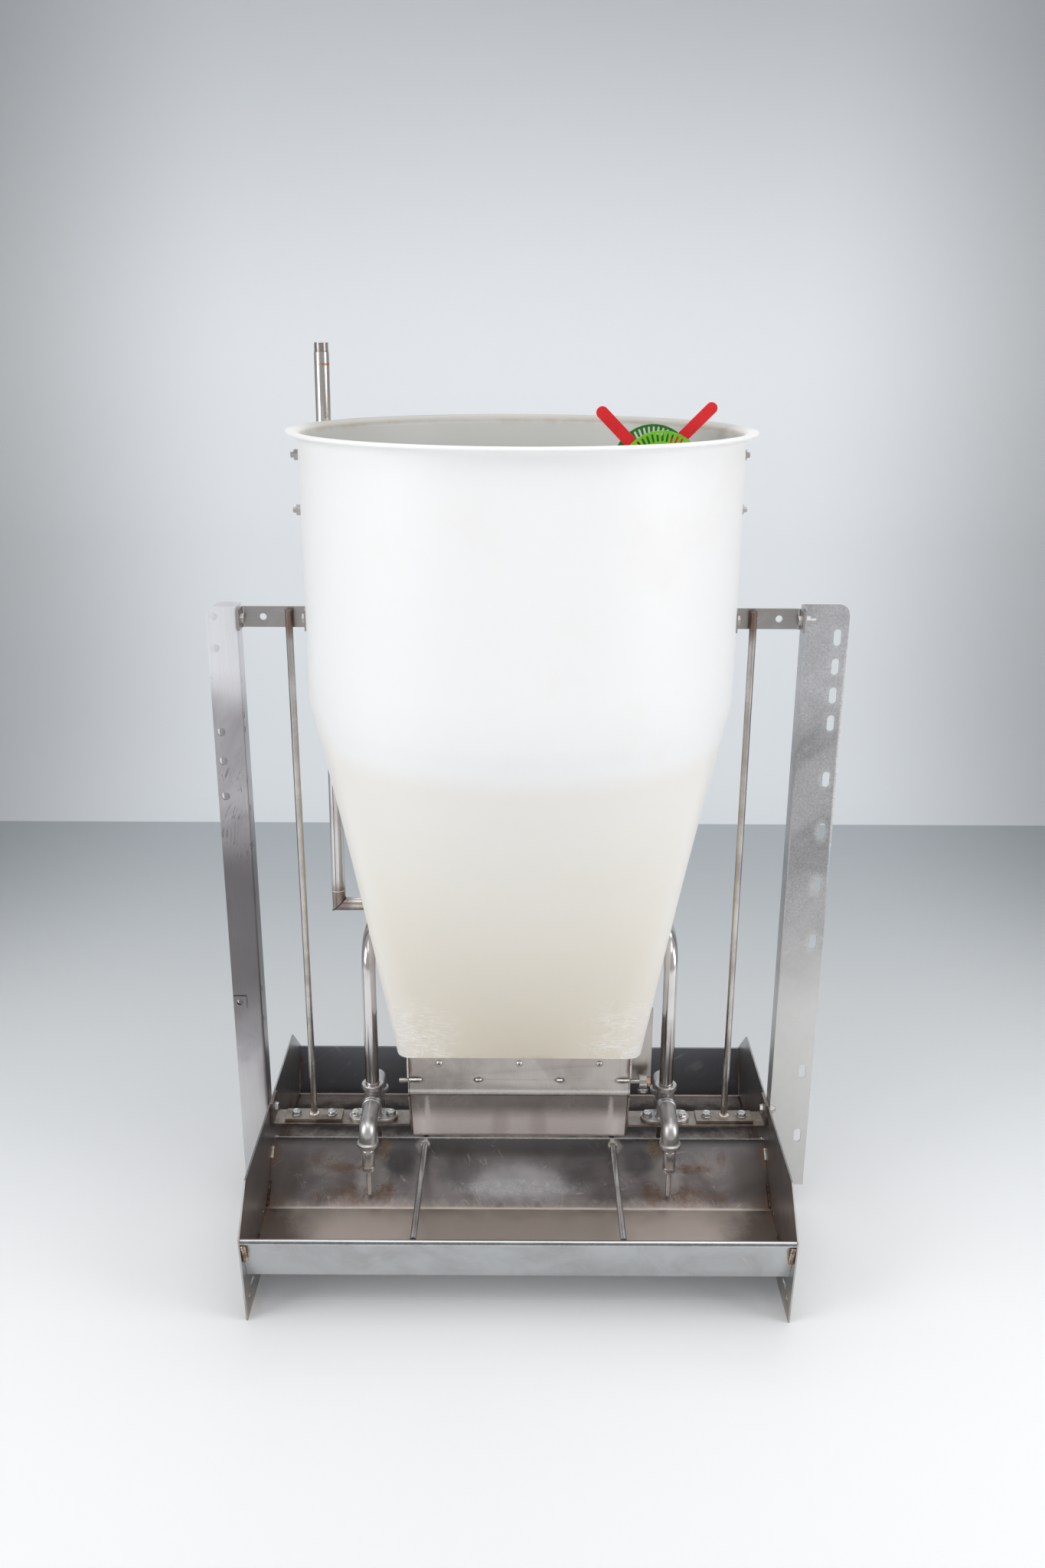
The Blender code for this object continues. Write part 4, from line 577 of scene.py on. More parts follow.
def tube(points, radius, sides=32, bore=0, shape=None):
    # A bar or pipe along points, mitred where it turns; radius may be one number for each point
    shape = shape or bmesh.new()
    points = [Vector(p) for p in points]
    steps = [(b - a).normalized() for a, b in zip(points, points[1:])]
    radii = radius if isinstance(radius, list) else [radius] * len(points)
    spokes = spokesOf(steps[0], fullTurn(sides))
    outer = []
    inner = []
    for number, place in enumerate(points):
        before = steps[max(number - 1, 0)]
        after = steps[min(number, len(steps) - 1)]
        plane = (before + after).normalized()
        lean = [s - before * (s.dot(plane) / before.dot(plane)) for s in spokes]
        outer.append([shape.verts.new(place + s * radii[number]) for s in lean])
        if bore:
            inner.append([shape.verts.new(place + s * bore) for s in lean])
        spokes = [(s - after * s.dot(after)).normalized() for s in lean]
    if bore:
        bridge(shape, outer + inner[::-1], loop=True)
    else:
        bridge(shape, outer)
        shape.faces.new(outer[0][::-1])
        shape.faces.new(outer[-1])
    return shape


def lathe(profile, origin, axis, sides=40, loop=False, shape=None):
    # profile is pairs of distance along the axis and radius
    shape = shape or bmesh.new()
    axis = Vector(axis).normalized()
    spokes = spokesOf(axis, fullTurn(sides))
    rings = []
    for along, radius in profile:
        centre = Vector(origin) + axis * along
        ring = [centre + spoke * radius for spoke in spokes] if radius else [centre]
        rings.append([shape.verts.new(point) for point in ring])
    bridge(shape, rings, loop)
    return shape


slots = {"hopper": "hopper_plastic", "leftPost": "post_steel", "rightPost": "post_steel",
         "red": "red_plastic", "lime": "lime_plastic", "green": "green_plastic", "bolt": "bolt_steel",
         "rusty": "bolt_steel"}
slots.update(dict.fromkeys(("strip", "stay", "rod"), "rod_steel"))
slots.update(dict.fromkeys(("pipe", "drinker", "nipple"), "pipe_steel"))


def finish(name, shape, material, body="feeder", stands=(), slot=None, sharp=35, ease=0, extra=()):
    # Makes the piece, dresses it, fixes it to its body and puts it in place of the nodes it stands for
    bmesh.ops.recalc_face_normals(shape, faces=shape.faces)
    mesh = bpy.data.meshes.new(name)
    shape.to_mesh(mesh)
    shape.free()
    piece = bpy.data.objects.new(name, mesh)
    scene.collection.objects.link(piece)
    for one in (material, *extra):
        mesh.materials.append(finishes[one])
    mesh.polygons.foreach_set("use_smooth", [True] * len(mesh.polygons))
    mesh.set_sharp_from_angle(angle=radians(sharp))
    if ease:
        soft = piece.modifiers.new("ease", "BEVEL")
        soft.width = ease
        soft.segments = 2
        soft.limit_method = "ANGLE"
        soft.angle_limit = radians(sharp)
        soft.harden_normals = True
    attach(piece, body)
    if stands:
        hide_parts(*stands)
    slot or slots.get(material, "sheet_steel")


def bodyOf(node):
    return nodes[node]["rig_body"]


def arc(centre, radius, start, stop, steps):
    # Points of an arc in a plane, degrees
    points = []
    for step in range(steps + 1):
        angle = radians(start + (stop - start) * step / steps)
        points.append((centre[0] + radius * cos(angle), centre[1] + radius * sin(angle)))
    return points


def roundPath(points, radius, steps=6):
    # Rounds the inner corners of a path in space
    points = [Vector(p) for p in points]
    path = [points[0]]
    for before, corner, after in zip(points, points[1:], points[2:]):
        toBefore = (before - corner).normalized()
        toAfter = (after - corner).normalized()
        half = toBefore.angle(toAfter) / 2
        reach = min(radius / tan(half), (before - corner).length * 0.49, (after - corner).length * 0.49)
        bend = reach * tan(half)
        middle = corner + (toBefore + toAfter).normalized() * (bend / sin(half))
        start = corner + toBefore * reach - middle
        turn = pi - 2 * half
        axis = start.cross(corner + toAfter * reach - middle).normalized()
        for step in range(steps + 1):
            path.append(middle + Matrix.Rotation(turn * step / steps, 3, axis) @ start)
    path.append(points[-1])
    return path


def sheetSection(path, thick):
    # The second face of a folded sheet, to the left of its first face
    side = []
    for number, place in enumerate(path):
        before = (path[number] - path[number - 1]).normalized() if number else None
        after = (path[number + 1] - path[number]).normalized() if number < len(path) - 1 else None
        run = ((before or after) + (after or before)).normalized()
        left = Vector((-run.y, run.x))
        edge = before or after
        side.append(place + left * (thick / max(0.3, abs(Vector((-edge.y, edge.x)).dot(left)))))
    return side


# Hopper

hopperLook = {"rays": 288, "levels": 30, "wall": 0.005, "footCorner": 0.020, "ledgeX": 0.015,
              "footY": 0.095, "lipY": 0.0883, "taperTop": 0.869, "rimOverhang": 0.016, "lipSheet": 0.0046,
              "lipBend": 0.011, "lipFall": 0.0006, "lipDepth": 0.030}


def rayReach(halfX, halfY, corner, angle):
    # From the middle to a rectangle with round corners
    cosine = abs(cos(angle))
    sine = abs(sin(angle))
    if halfX * sine <= (halfY - corner) * cosine:
        return halfX / cosine
    if halfY * cosine <= (halfX - corner) * sine:
        return halfY / sine
    x = halfX - corner
    y = halfY - corner
    along = x * cosine + y * sine
    return along + sqrt(max(along * along - x * x - y * y + corner * corner, 0))


def makeHopper():
    look = hopperLook
    low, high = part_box("hopper")
    wall = look["wall"]
    corner = look["footCorner"]
    foot = low.z
    top = high.z
    rim = (high.x - low.x) / 2
    radius = rim - look["rimOverhang"]
    footX = collarX + look["ledgeX"]
    footY = look["footY"]
    turn = look["taperTop"]
    levels = look["levels"]
    shape = bmesh.new()
    angles = fullTurn(look["rays"])

    def ring(reach, z):
        return [shape.verts.new((midX + reach(a) * cos(a), reach(a) * sin(a), z)) for a in angles]

    def loft(halfX, halfY, round_, radiusTop, lowZ):
        rings = []
        for step in range(levels + 1):
            share = step / levels
            rings.append(ring(lambda a: rayReach(halfX, halfY, round_, a) * (1 - share) + radiusTop * share,
                              lowZ + (turn - lowZ) * share))
        return rings

    def circle(r, z):
        return ring(lambda a: r, z)

    rings = loft(footX, footY, corner, radius, foot)
    rings += [circle(radius, turn + (top - look["lipDepth"] - turn) * step / 6) for step in range(1, 7)]
    sheet = look["lipSheet"] / 2
    bend = look["lipBend"]
    fall = look["lipFall"]
    quarter = [radians(a) for a in range(0, 91, 9)]
    line = [(radius - wall / 2 + bend * (1 - cos(a)), top - sheet - bend * (1 - sin(a)))
            for a in quarter]
    tip = rim - sheet
    line += [(tip - 0.003, top - sheet), (tip, top - sheet - fall)]
    outer = []
    inner = []
    for number, (r, z) in enumerate(line):
        one = Vector(line[max(number - 1, 0)])
        two = Vector(line[min(number + 1, len(line) - 1)])
        run = (two - one).normalized()
        thick = sheet if number else wall / 2
        outer.append((r + run.y * thick, z - run.x * thick))
        inner.append((r - run.y * thick, z + run.x * thick))
    rings += [circle(r, z) for r, z in outer[1:]]
    for a in range(-60, 61, 30):
        angle = radians(a)
        rings.append(circle(tip + sheet * cos(angle), top - sheet - fall + sheet * sin(angle)))
    rings += [circle(r, z) for r, z in inner[::-1]]
    rings.append(circle(radius - wall, turn))
    rings += loft(footX - wall, footY - wall, corner - wall, radius - wall, foot + wall)[:-1][::-1]
    for z in (foot + wall, foot):
        rings.append(ring(lambda a: rayReach(collarX + 0.0003, look["lipY"], 0.001, a), z))
    bridge(shape, rings, loop=True)
    finish("white_hopper", shape, "hopper", stands=("hopper",), sharp=40)


makeHopper()
print("hopper ready")


# Trough pan: one sheet folded to a W, with rolled lips

panLook = {"sheet": 0.002, "hemWidth": 0.006, "hemDrop": 0.007, "floorHalf": 0.238, "crease": 0.088,
           "ridge": 0.139, "floor": 0.069, "bend": 0.0026, "lengths": 24}


def makePan():
    look = panLook
    lip = -panLow.y
    top = panHigh.z
    hem = [(lip, top - look["hemDrop"]), (lip, top), (lip - look["hemWidth"], top)]
    rear = hem + [(look["floorHalf"], look["floor"]), (look["crease"], look["floor"])]
    corners = rear + [(0, look["ridge"])] + [(-y, z) for y, z in rear[::-1]]
    path = roundPath([(y, z, 0) for y, z in corners], look["bend"], 6)
    path = [Vector((p.x, p.y)) for p in path]
    path = [a.lerp(b, k / 4) for a, b in zip(path, path[1:]) for k in range(4)] + [path[-1]]
    lower = sheetSection(path, look["sheet"])
    shape = bmesh.new()
    steps = look["lengths"]
    ends = [panLow.x + (panHigh.x - panLow.x) * k / steps for k in range(steps + 1)]
    rings = [[shape.verts.new((x, p.x, p.y)) for p in path + lower[::-1]] for x in ends]
    count = len(path)
    whole = 2 * count
    for one, two in zip(rings, rings[1:]):
        for k in range(whole):
            after = (k + 1) % whole
            face = shape.faces.new((one[k], two[k], two[after], one[after]))
            outside = k >= count or abs(path[k].x) > lip - look["hemWidth"] * 0.6
            face.material_index = 1 if outside else 0
    for ring in (rings[0], rings[-1]):
        for k in range(count - 1):
            shape.faces.new((ring[k], ring[k + 1], ring[whole - 2 - k], ring[whole - 1 - k]))
    finish("trough_sheet", shape, "trough", stands=("trough_pan",), sharp=40, extra=("apron",))


makePan()


def makeDividers():
    for row, end in rows.items():
        for hand in hands:
            node = f"divider_rod_{row}_{hand}"
            low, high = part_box(node)
            radius = (high.x - low.x) / 2
            x = boxMiddle(node).x
            near, far = (low.y, high.y) if end > 0 else (high.y, low.y)
            shape = tube([(x, near, low.z + radius), (x, far, high.z - radius)], radius * 0.995, 28)
            finish(f"divider_bar_{row}_{hand}", shape, "rod", stands=(node,))


makeDividers()
print("trough ready")


# Stays, with their foot plates

stayLook = {"plate": 0.005, "plateEase": 0.0007, "radius": 0.005, "tip": 0.0008, "tipRadius": 0.0043}


def makeStays():
    thick = stayLook["plate"]
    radius = stayLook["radius"]
    for hand in hands:
        node = "stay_rod_" + hand
        low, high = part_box(node)
        x, y = boxMiddle(node).xy
        size = (high.x - low.x, high.y - low.y, thick)
        shape = bmesh.new()
        bmesh.ops.create_cube(shape, size=1)
        for vert in shape.verts:
            vert.co = Vector((x, y, low.z + thick / 2)) + Vector(vert.co[i] * size[i] for i in range(3))
        finish("stay_plate_" + hand, shape, "bar", slot="rod_steel", ease=stayLook["plateEase"])
        path = [(x, y, low.z + thick - 0.001), (x, y, high.z - stayLook["tip"]), (x, y, high.z)]
        shape = tube(path, [radius, radius, stayLook["tipRadius"]])
        finish("stay_bar_" + hand, shape, "stay", stands=(node,))


makeStays()


# Drinkers

drinkerLook = {"flangeHalf": 0.038, "flangeWidth": 0.034, "flangeThick": 0.005, "flangeEase": 0.0008,
               "tee": 0.0135, "rim": 0.0168, "rimHeight": 0.008, "port": 0.0145, "portReach": 0.0195,
               "elbow": 0.01325, "elbowRim": 0.0163, "elbowRimHeight": 0.0065, "elbowBore": 0.0098,
               "bend": 0.021, "nippleNeck": 0.0094, "nippleBore": 0.0046, "pin": 0.0040, "pinHead": 0.0061}


def ovalPlate(shape, centre, halfLong, halfWide, low, high):
    straight = halfLong - halfWide
    steps = 20
    ring = []
    for end in (1, -1):
        for k in range(steps + 1):
            angle = pi * k / steps - pi / 2
            ring.append((end * (straight + halfWide * cos(angle)), end * halfWide * sin(angle)))
    soft = drinkerLook["flangeEase"]
    made = []
    for z, shrink in ((low, 0), (high - soft, 0), (high, soft)):
        wide = 1 - shrink / halfLong
        deep = 1 - shrink / halfWide
        made.append([shape.verts.new((centre.x + x * wide, centre.y + y * deep, z)) for x, y in ring])
    bridge(shape, made)
    shape.faces.new(made[0][::-1])
    shape.faces.new(made[-1])


def makeTee(hand):
    look = drinkerLook
    tee = look["tee"]
    rim = look["rim"]
    port = look["port"]
    reach = look["portReach"]
    elbow = look["elbow"]
    node = "drinker_tee_" + hand
    low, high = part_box(node)
    centre = boxMiddle(node)
    shape = bmesh.new()
    plateTop = low.z + look["flangeThick"]
    ovalPlate(shape, centre, look["flangeHalf"], look["flangeWidth"] / 2, low.z, plateTop)
    rimFoot = high.z - look["rimHeight"]
    body = [(plateTop - 0.002, tee + 0.003), (plateTop + 0.0005, tee + 0.0022), (plateTop + 0.0025, tee),
            (rimFoot - 0.004, tee), (rimFoot, rim - 0.0006), (rimFoot + 0.0008, rim), (high.z - 0.0009, rim),
            (high.z, rim - 0.0009), (high.z, 0.0112), (high.z - 0.012, 0.0110), (plateTop, 0.0100)]
    lathe(body, (centre.x, centre.y, 0), (0, 0, 1), shape=shape, loop=True)
    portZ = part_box("drinker_elbow_front_" + hand)[1].z - elbow
    half = [(0.0115, elbow), (0.0135, port), (reach - 0.0008, port), (reach, port - 0.0008), (reach, 0)]
    ports = [(-along, radius) for along, radius in half[::-1]] + half
    lathe(ports, (centre.x, centre.y, portZ), (0, 1, 0), shape=shape)
    finish("drinker_body_" + hand, shape, "drinker", stands=(node,))


def makeElbow(row, hand):
    look = drinkerLook
    elbow = look["elbow"]
    rim = look["elbowRim"]
    label = row + "_" + hand
    low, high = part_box("drinker_elbow_" + label)
    portZ = high.z - elbow
    mouth = low.z
    start = low.y if rows[row] > 0 else high.y
    x, y = boxMiddle("nipple_body_" + label).xy
    path = roundPath([(x, start, portZ), (x, y, portZ), (x, y, mouth)], look["bend"], 16)
    shape = tube(path, elbow, 40, look["elbowBore"])
    rimTop = mouth + look["elbowRimHeight"]
    band = [(mouth, rim - 0.0007), (mouth + 0.0007, rim), (rimTop - 0.0010, rim), (rimTop, rim - 0.0010),
            (rimTop + 0.0012, elbow - 0.0002), (mouth, 0.0100)]
    lathe(band, (x, y, 0), (0, 0, 1), shape=shape, loop=True)
    collar = [(0, 0.0141), (0.0006, 0.0148), (0.0050, 0.0148), (0.0058, 0.0139), (0.0058, 0.0110),
              (0, 0.0110)]
    lathe(collar, (x, start, portZ), (0, rows[row], 0), shape=shape, loop=True)
    finish("drinker_bend_" + label, shape, "drinker", stands=("drinker_elbow_" + label,))


def makeNipple(label):
    node = "nipple_body_" + label
    low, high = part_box(node)
    x, y = boxMiddle(node).xy
    radius = (high.x - low.x) / 2
    bore = drinkerLook["nippleBore"]
    neck = drinkerLook["nippleNeck"]
    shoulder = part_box("drinker_elbow_" + label)[0].z
    profile = [(high.z, bore), (high.z, neck), (shoulder, neck), (shoulder - 0.0003, radius),
               (shoulder - 0.006, radius), (shoulder - 0.0075, radius - 0.0010), (shoulder - 0.0090, radius),
               (low.z + 0.010, radius), (low.z + 0.0085, radius - 0.0008), (low.z + 0.007, radius),
               (low.z + 0.0012, radius), (low.z, radius - 0.0012), (low.z, 0.0060), (low.z + 0.0020, 0.0047),
               (low.z + 0.016, bore)]
    shape = lathe(profile, (x, y, 0), (0, 0, 1), 36, loop=True)
    finish("nipple_barrel_" + label, shape, "nipple", stands=(node,))
    node = "nipple_stem_" + label
    low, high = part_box(node)
    pin = drinkerLook["pin"]
    head = drinkerLook["pinHead"]
    profile = [(low.z, 0), (low.z, 0.0030), (low.z + 0.0008, 0.0038), (low.z + 0.002, pin),
               (high.z - 0.0072, pin), (high.z - 0.0070, head), (high.z - 0.0004, head), (high.z, 0.0056),
               (high.z, 0)]
    shape = lathe(profile, (x, y, 0), (0, 0, 1), 28)
    finish("nipple_pin_" + label, shape, "nipple", label + "_stem", (node,))


def makeDrinkers():
    for hand in hands:
        makeTee(hand)
        for row in rows:
            makeElbow(row, hand)
            makeNipple(row + "_" + hand)


makeDrinkers()
print("drinkers ready")


# Water pipes

pipeLook = {"radius": 0.01065, "bore": 0.0088, "bend": 0.045, "threadPitch": 0.0018, "threadLength": 0.013,
            "threadDepth": 0.0011}


def makePipes():
    look = pipeLook
    radius = look["radius"]
    bore = look["bore"]
    for hand in hands:
        node = "drop_pipe_" + hand
        low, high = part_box(node)
        x = boxMiddle(node).x
        y = low.y + radius
        level = high.z - radius
        path = roundPath([(x, y, low.z), (x, y, level), (x, high.y, level)], look["bend"], 20)
        finish("drop_tube_" + hand, tube(path, radius, 40, bore), "pipe", stands=(node,))
    low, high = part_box("header_pipe")
    y = (low.y + high.y) / 2
    level = low.z + radius
    legX = low.x + radius
    path = [(legX, y, high.z), (legX, y, level), (high.x, y, level)]
    finish("header_tube", tube(path, radius, 40, bore), "pipe", stands=("header_pipe",))
    low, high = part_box("inlet_pipe")
    foot = Vector((legX, y, low.z + 0.0001))
    top = Vector((high.x - radius, y, high.z - 0.0004))
    length = (top - foot).length
    pitch = look["threadPitch"]
    threadStart = length - look["threadLength"]
    profile = [(0, radius), (threadStart, radius)]
    for turn in range(round(look["threadLength"] / pitch)):
        start = threadStart + turn * pitch
        profile.append((start + pitch * 0.5, radius - look["threadDepth"]))
        profile.append((start + pitch * 0.98, radius - 0.0001))
    profile += [(length, radius - 0.0012), (length, bore), (0, bore)]
    shape = lathe(profile, foot, top - foot, 40, loop=True)
    finish("inlet_tube", shape, "pipe", stands=("inlet_pipe",), sharp=50)


makePipes()
print("pipes ready")


# Sheet parts that keep their solid's shape, with broken edges

easedLook = {"ease": 0.0004, "sharp": 30, "join": 1e-6, "flat": 0.5}

easedNodes = (
    ("plate", ("end_plate_left", "end_plate_right")),
    ("bar", ("support_bar_left", "support_bar_right")),
    ("leftPost", ("post_left",)),
    ("rightPost", ("post_right",)),
    ("strip", ("top_strip_left", "top_strip_right")),
    ("plate", ("cross_plate",)),
    ("collar", ("collar_front", "collar_rear", "collar_end_left", "collar_end_right")),
    ("gate", ("gate_front", "gate_rear")),
    ("rod", ("gate_shaft_front", "gate_shaft_rear")),
    ("lime", ("index_disc_front",)),
    ("green", ("index_disc_rear",)),
    ("red", ("feed_lever_front", "feed_lever_rear")),
    ("bolt", ("lever_pin",)),
    ("rod", ("link_rod_front", "link_rod_rear")),
)


def makeEased():
    look = easedLook
    flat = radians(look["flat"])
    for material, group in easedNodes:
        for node in group:
            shape = bmesh.new()
            shape.from_mesh(nodes[node].data)
            bmesh.ops.remove_doubles(shape, verts=shape.verts, dist=look["join"])
            bmesh.ops.dissolve_limit(shape, angle_limit=flat, verts=shape.verts, edges=shape.edges)
            finish(node + "_dressed", shape, material, bodyOf(node), (node,),
                   sharp=look["sharp"], ease=look["ease"])


makeEased()
print("sheet parts ready")


# Bolts: chamfered hexagon heads on washers

boltLook = {"flat": 0.0065, "shank": 0.004, "head": 0.0053, "nut": 0.0065, "chamfer": 0.0009,
            "washer": 0.0084, "washerThick": 0.0011, "sides": 48, "firstTurn": 0.2, "turnStep": 0.7,
            "postWebX": 0.3923}


def hexBolt(name, headTop, way, length, nutAt, turn, body="feeder", stands=()):
    # way points out of the head; nutAt is how far below the head's top the nut begins, or 0 for none
    look = boltLook
    flat = look["flat"]
    head = look["head"]
    shank = look["shank"]
    soft = look["chamfer"]
    wide = look["washer"]
    way = Vector(way).normalized()
    corner = flat / cos(pi / 6)
    low = flat * 0.97
    profile = [(0.0004, 0), (0.0004, low * 0.86), (0, low), (soft, corner), (head, corner), (head, shank)]
    if nutAt:
        nutEnd = nutAt + look["nut"]
        profile += [(nutAt, shank), (nutAt, low), (nutAt + soft, corner),
                    (nutEnd - soft, corner), (nutEnd, low), (nutEnd, shank)]
    profile += [(length - soft, shank), (length, shank - soft), (length, 0)]
    angles = fullTurn(look["sides"])
    spokes = spokesOf(way, [angle + turn for angle in angles])
    shape = bmesh.new()
    rings = []
    for down, circle in profile:
        centre = Vector(headTop) - way * down
        if not circle:
            rings.append([shape.verts.new(centre)])
            continue
        ring = []
        for angle, spoke in zip(angles, spokes):
            fromFlat = (angle + pi / 6) % (pi / 3) - pi / 6
            ring.append(shape.verts.new(centre + spoke * min(flat / cos(fromFlat), circle)))
        rings.append(ring)
    bridge(shape, rings)
    washer = head - look["washerThick"]
    ring = [(-washer, shank), (-washer, wide - 0.0003), (-washer - 0.0003, wide),
            (-head, wide), (-head, shank)]
    lathe(ring, headTop, way, 32, True, shape)
    finish(name, shape, "bolt", body, stands, sharp=25)


def makeBolts():
    # No two heads are turned the same way
    turn = boltLook["firstTurn"]
    for hand, side in hands.items():
        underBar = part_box("support_bar_" + hand)[0].z
        for number in range(1, 5):
            label = f"bolt_{hand}_{number}"
            low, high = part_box("bar_" + label)
            x, y = boxMiddle("bar_" + label).xy
            turn += boltLook["turnStep"]
            hexBolt("pad_" + label, (x, y, high.z), (0, 0, 1), high.z - low.z, high.z - underBar, turn,
                    stands=("bar_" + label,))
        node = "post_bolt_" + hand
        low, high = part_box(node)
        middle = boxMiddle(node)
        inner = high.x if side < 0 else low.x
        web = boltLook["postWebX"] * side + midX
        hexBolt("post_screw_" + hand, (inner, middle.y, middle.z), (-side, 0, 0), high.x - low.x,
                abs(web - inner), turn, stands=(node,))


screwLook = {"across": (-0.118, 0, 0.118), "height": 0.3235, "dome": 0.0031}
shaftLook = {"collarX": 0.1845, "y": 0.0732, "z": 0.285, "screwWay": (0.45, -0.89), "screwAway": 0.0165,
             "screwLength": 0.010, "screwTurn": 0.3, "nutX": 0.0057}


def makeCollarScrews():
    # Button heads with a socket, three on each long wall of the collar
    profile = [(-0.0004, 0.0047), (0.0010, 0.0047), (0.0021, 0.0037), (0.0029, 0.0023), (0.0031, 0.0018),
               (0.0016, 0.0015), (0.0016, 0)]
    for row, end in rows.items():
        low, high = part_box("collar_" + row)
        face = (high.y if end > 0 else low.y) - end * screwLook["dome"]
        shape = bmesh.new()
        for x in screwLook["across"]:
            lathe(profile, (midX + x, face, screwLook["height"]), (0, end, 0), 28, shape=shape)
        finish("button_heads_" + row, shape, "weld", slot="bolt_steel", sharp=50)


def makeShaftScrews():
    # What clamps each gate shaft's collar: a screw from below and a rusty nut at the end
    look = shaftLook
    nut = [(0, 0.0045), (0, 0.0068), (0.0006, 0.0074), (0.0050, 0.0074), (0.0056, 0.0068), (0.0056, 0.0045)]
    for row, end in rows.items():
        body = bodyOf("gate_shaft_" + row)
        shaft = Vector((midX + look["collarX"], end * look["y"], look["z"]))
        way = Vector((0, end * look["screwWay"][0], look["screwWay"][1]))
        hexBolt("clamp_screw_" + row, shaft + way * look["screwAway"], way, look["screwLength"], 0,
                look["screwTurn"], body)
        shape = lathe(nut, shaft + Vector((look["nutX"], 0, 0)), (1, 0, 0), 6, True)
        finish("end_nut_" + row, shape, "rusty", body)


makeBolts()
makeCollarScrews()
makeShaftScrews()
print("bolts ready")


# Weld beads: rippled runs on the trough, collar, rods and pipes

weldLook = {"ripple": 0.0017, "step": 0.0004, "depth": 0.22, "ring": 0.0030, "dividerY": 0.0180,
            "dividerRing": 0.0050, "stayRing": 0.0054, "pipe": 0.0011}
weldRuns = (  # finish, radius and places, alike in all four corners of the feeder
    ("weld", 0.0030, ((0.3868, 0.012, 0.1300), (0.3868, 0.028, 0.1172))),
    # painted shade: a dark bead where the slope meets the end plate stands in for the shaded gap there; the
    # other dark beads are welds
    ("burntWeld", 0.0034, ((0.3868, 0.055, 0.0955), (0.3868, 0.072, 0.0820), (0.3868, 0.086, 0.0712))),
    ("burntWeld", 0.0016, ((0.3868, 0.150, 0.0700), (0.3868, 0.235, 0.0700))),
    ("brownWeld", 0.0040, ((0.3838, 0.2675, 0.139), (0.3838, 0.2555, 0.104))),
    ("weld", 0.0025, ((0.055, 0.0882, 0.296), (0.065, 0.0882, 0.296))),
    ("weld", 0.0025, ((0.144, 0.0882, 0.296), (0.164, 0.0882, 0.296))),
    ("weld", 0.0015, ((0.1648, 0.0878, 0.298), (0.1648, 0.0878, 0.334))),
)


def bead(shape, points, radius, closed=False):
    # A run of weld; the ripples are rings of changing width
    points = [Vector(p) for p in points]
    path = []
    for one, two in zip(points, points[1:]):
        count = max(1, round((two - one).length / weldLook["step"]))
        path += [one.lerp(two, k / count) for k in range(count)]
    path.append(points[-1])
    length = 0
    radii = []
    for number, place in enumerate(path):
        length += (place - path[number - 1]).length if number else 0
        wave = abs(sin(pi * length / weldLook["ripple"]))
        radii.append(radius * (1 - weldLook["depth"] * wave))
    if not closed:
        for number in range(min(3, len(path) // 2)):
            share = (0.35, 0.7, 0.9)[number]
            radii[number] *= share
            radii[-1 - number] *= share
    tube(path, radii, 12, shape=shape)


def weldRing(shape, centre, axis, radius, thick):
    spokes = spokesOf(Vector(axis), [radians(a) for a in range(0, 361, 15)])
    bead(shape, [Vector(centre) + spoke * radius for spoke in spokes], thick, True)


def makeWelds():
    look = weldLook
    names = {"weld": "bright_welds", "burntWeld": "dark_welds_and_gap_shade", "brownWeld": "corner_welds"}
    shapes = {material: bmesh.new() for material in names}
    bright = shapes["weld"]
    for hand, side in hands.items():
        for row, end in rows.items():
            for material, radius, run in weldRuns:
                bead(shapes[material], [(midX + side * x, end * y, z) for x, y, z in run], radius)
            rodX = boxMiddle(f"divider_rod_{row}_{hand}").x
            weldRing(bright, (rodX, end * look["dividerY"], panLook["ridge"] - 0.0005), (0, 1, 0),
                     look["dividerRing"], look["ring"])
        node = "stay_rod_" + hand
        x, y = boxMiddle(node).xy
        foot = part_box(node)[0].z + stayLook["plate"]
        weldRing(bright, (x, y, foot + 0.0005), (0, 0, 1), look["stayRing"], look["ring"])
    low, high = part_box("header_pipe")
    radius = pipeLook["radius"]
    corner = Vector((low.x + radius, (low.y + high.y) / 2, low.z + radius))
    circle = [radians(a) for a in range(0, 361, 12)]
    mitre = [corner + Vector((cos(a), sin(a), cos(a))) * radius for a in circle]
    bead(shapes["burntWeld"], mitre, look["pipe"], True)
    weldRing(bright, (corner.x, corner.y, high.z), (0, 0, 1), radius, look["pipe"])
    for material, name in names.items():
        finish(name, shapes[material], material, sharp=60)


makeWelds()
print("welds ready")


# Floor, wall and light

stageLook = {"floor": (246, 247, 248), "far": (176, 182, 186), "wall": (238, 241, 244),
             "wallFoot": (224, 228, 232), "wallTop": (193, 197, 201), "farFrom": -0.6,
             "lightFrom": (0.1, 0.9), "darkFrom": (1.15, 2.43), "edgeFrom": (0.82, 1.85),
             "edgeBack": (0, 1.4), "edge": 0.42, "wallY": 2.50, "curve": 0.70, "front": -6,
             "halfWidth": 7, "height": 5, "rough": 0.8, "glow": 0.05}


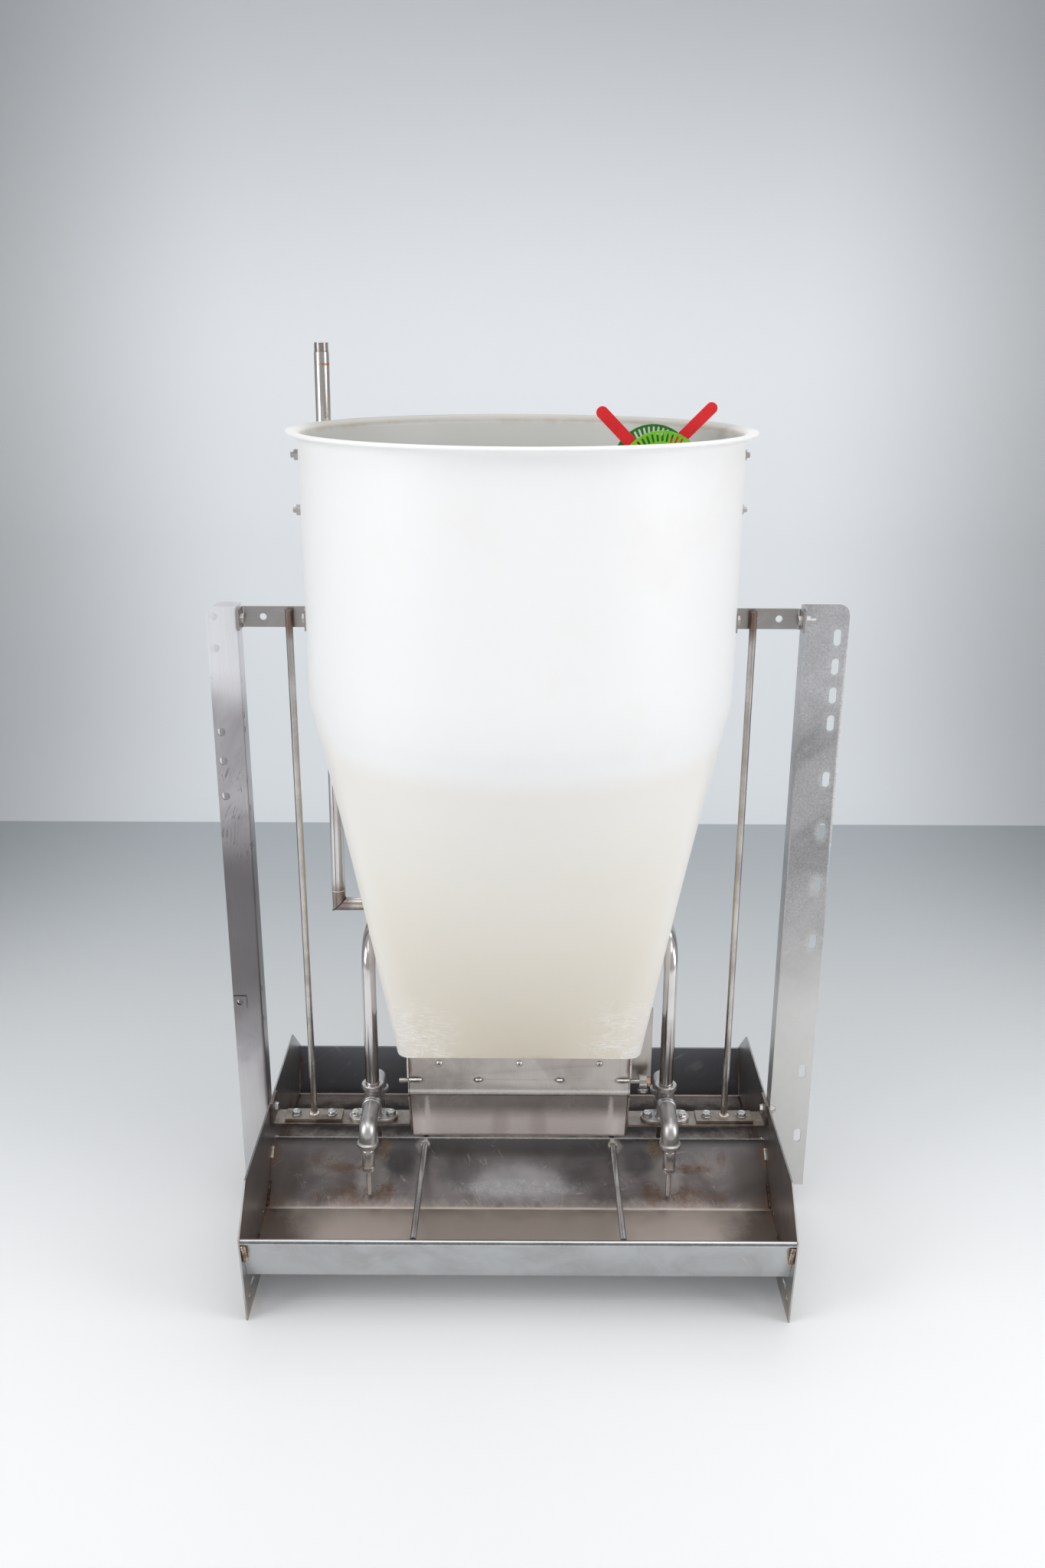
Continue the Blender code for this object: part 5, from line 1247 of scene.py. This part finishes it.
def makeStage():
    # A floor that curves up to a wall; where it starts to rise, the paint changes. The paint holds painted
    # shade: the floor darker towards the back and the wall darker at its foot, its top and its sides
    look = stageLook
    wall = look["wallY"]
    bend = look["curve"]
    foot = wall - bend
    path = [(look["front"], 0)] + arc((foot, bend), bend, -90, 0, 36) + [(wall, look["height"])]
    shape = bmesh.new()
    rings = [[shape.verts.new((side * look["halfWidth"], y, z)) for side in (-1, 1)] for y, z in path]
    for one, two in zip(rings, rings[1:]):
        shape.faces.new((one[0], one[1], two[1], two[0]))
    mesh = bpy.data.meshes.new("studioFloor")
    shape.to_mesh(mesh)
    shape.free()
    mesh.polygons.foreach_set("use_smooth", [True] * len(mesh.polygons))
    floor = bpy.data.objects.new("studio_floor", mesh)
    scene.collection.objects.link(floor)
    material, wire, shader = blank("studioPaint")
    x, y, z = wire.point().parts()
    floorColour = y.ramp(look["farFrom"], foot).mix(look["floor"], look["far"])
    wallColour = z.ramp(*look["lightFrom"]).mix(look["wallFoot"], look["wall"])
    wallColour = z.ramp(*look["darkFrom"]).mix(wallColour, look["wallTop"])
    edge = abs(x).ramp(*look["edgeFrom"]) * y.ramp(*look["edgeBack"])
    colour = y.ramp(foot - 0.004, foot + 0.004).mix(floorColour, wallColour).tone(1 - edge * look["edge"])
    feed(wire, shader, {"Base Color": colour, "Roughness": look["rough"], "Emission Color": colour,
                        "Emission Strength": look["glow"]})
    mesh.materials.append(material)


lamps = {
    "over": {"place": (0.2, -0.9, 3.2), "aim": (0, 0, 0.6), "size": (2.6, 2.0), "power": 26},
    "left": {"place": (-2.6, -1.6, 1.9), "aim": (0, 0, 0.6), "size": (1.6, 2.2), "power": 36},
    "right": {"place": (2.8, -1.2, 1.6), "aim": (0, 0, 0.6), "size": (1.4, 2.2), "power": 32},
    "behind": {"place": (0.3, 1.5, 3.0), "aim": (0, 0, 0.9), "size": (2.4, 1.2), "power": 11},
}
roomLight = {"colour": (0.98, 0.99, 1.0, 1), "strength": 0.46}


def makeLights():
    for name, lamp in lamps.items():
        light = bpy.data.lights.new(name, "AREA")
        light.shape = "RECTANGLE"
        light.size = lamp["size"][0]
        light.size_y = lamp["size"][1]
        light.energy = lamp["power"]
        holder = bpy.data.objects.new(name, light)
        holder.location = lamp["place"]
        aim = Vector(lamp["aim"]) - Vector(lamp["place"])
        holder.rotation_euler = aim.to_track_quat("-Z", "Y").to_euler()
        scene.collection.objects.link(holder)
    world = bpy.data.worlds.new("room")
    scene.world = world
    world.use_nodes = True
    sky = world.node_tree.nodes["Background"]
    sky.inputs["Color"].default_value = roomLight["colour"]
    sky.inputs["Strength"].default_value = roomLight["strength"]


makeStage()
makeLights()
makeCamera()
scene.view_settings.view_transform = "Standard"
print("studio ready")
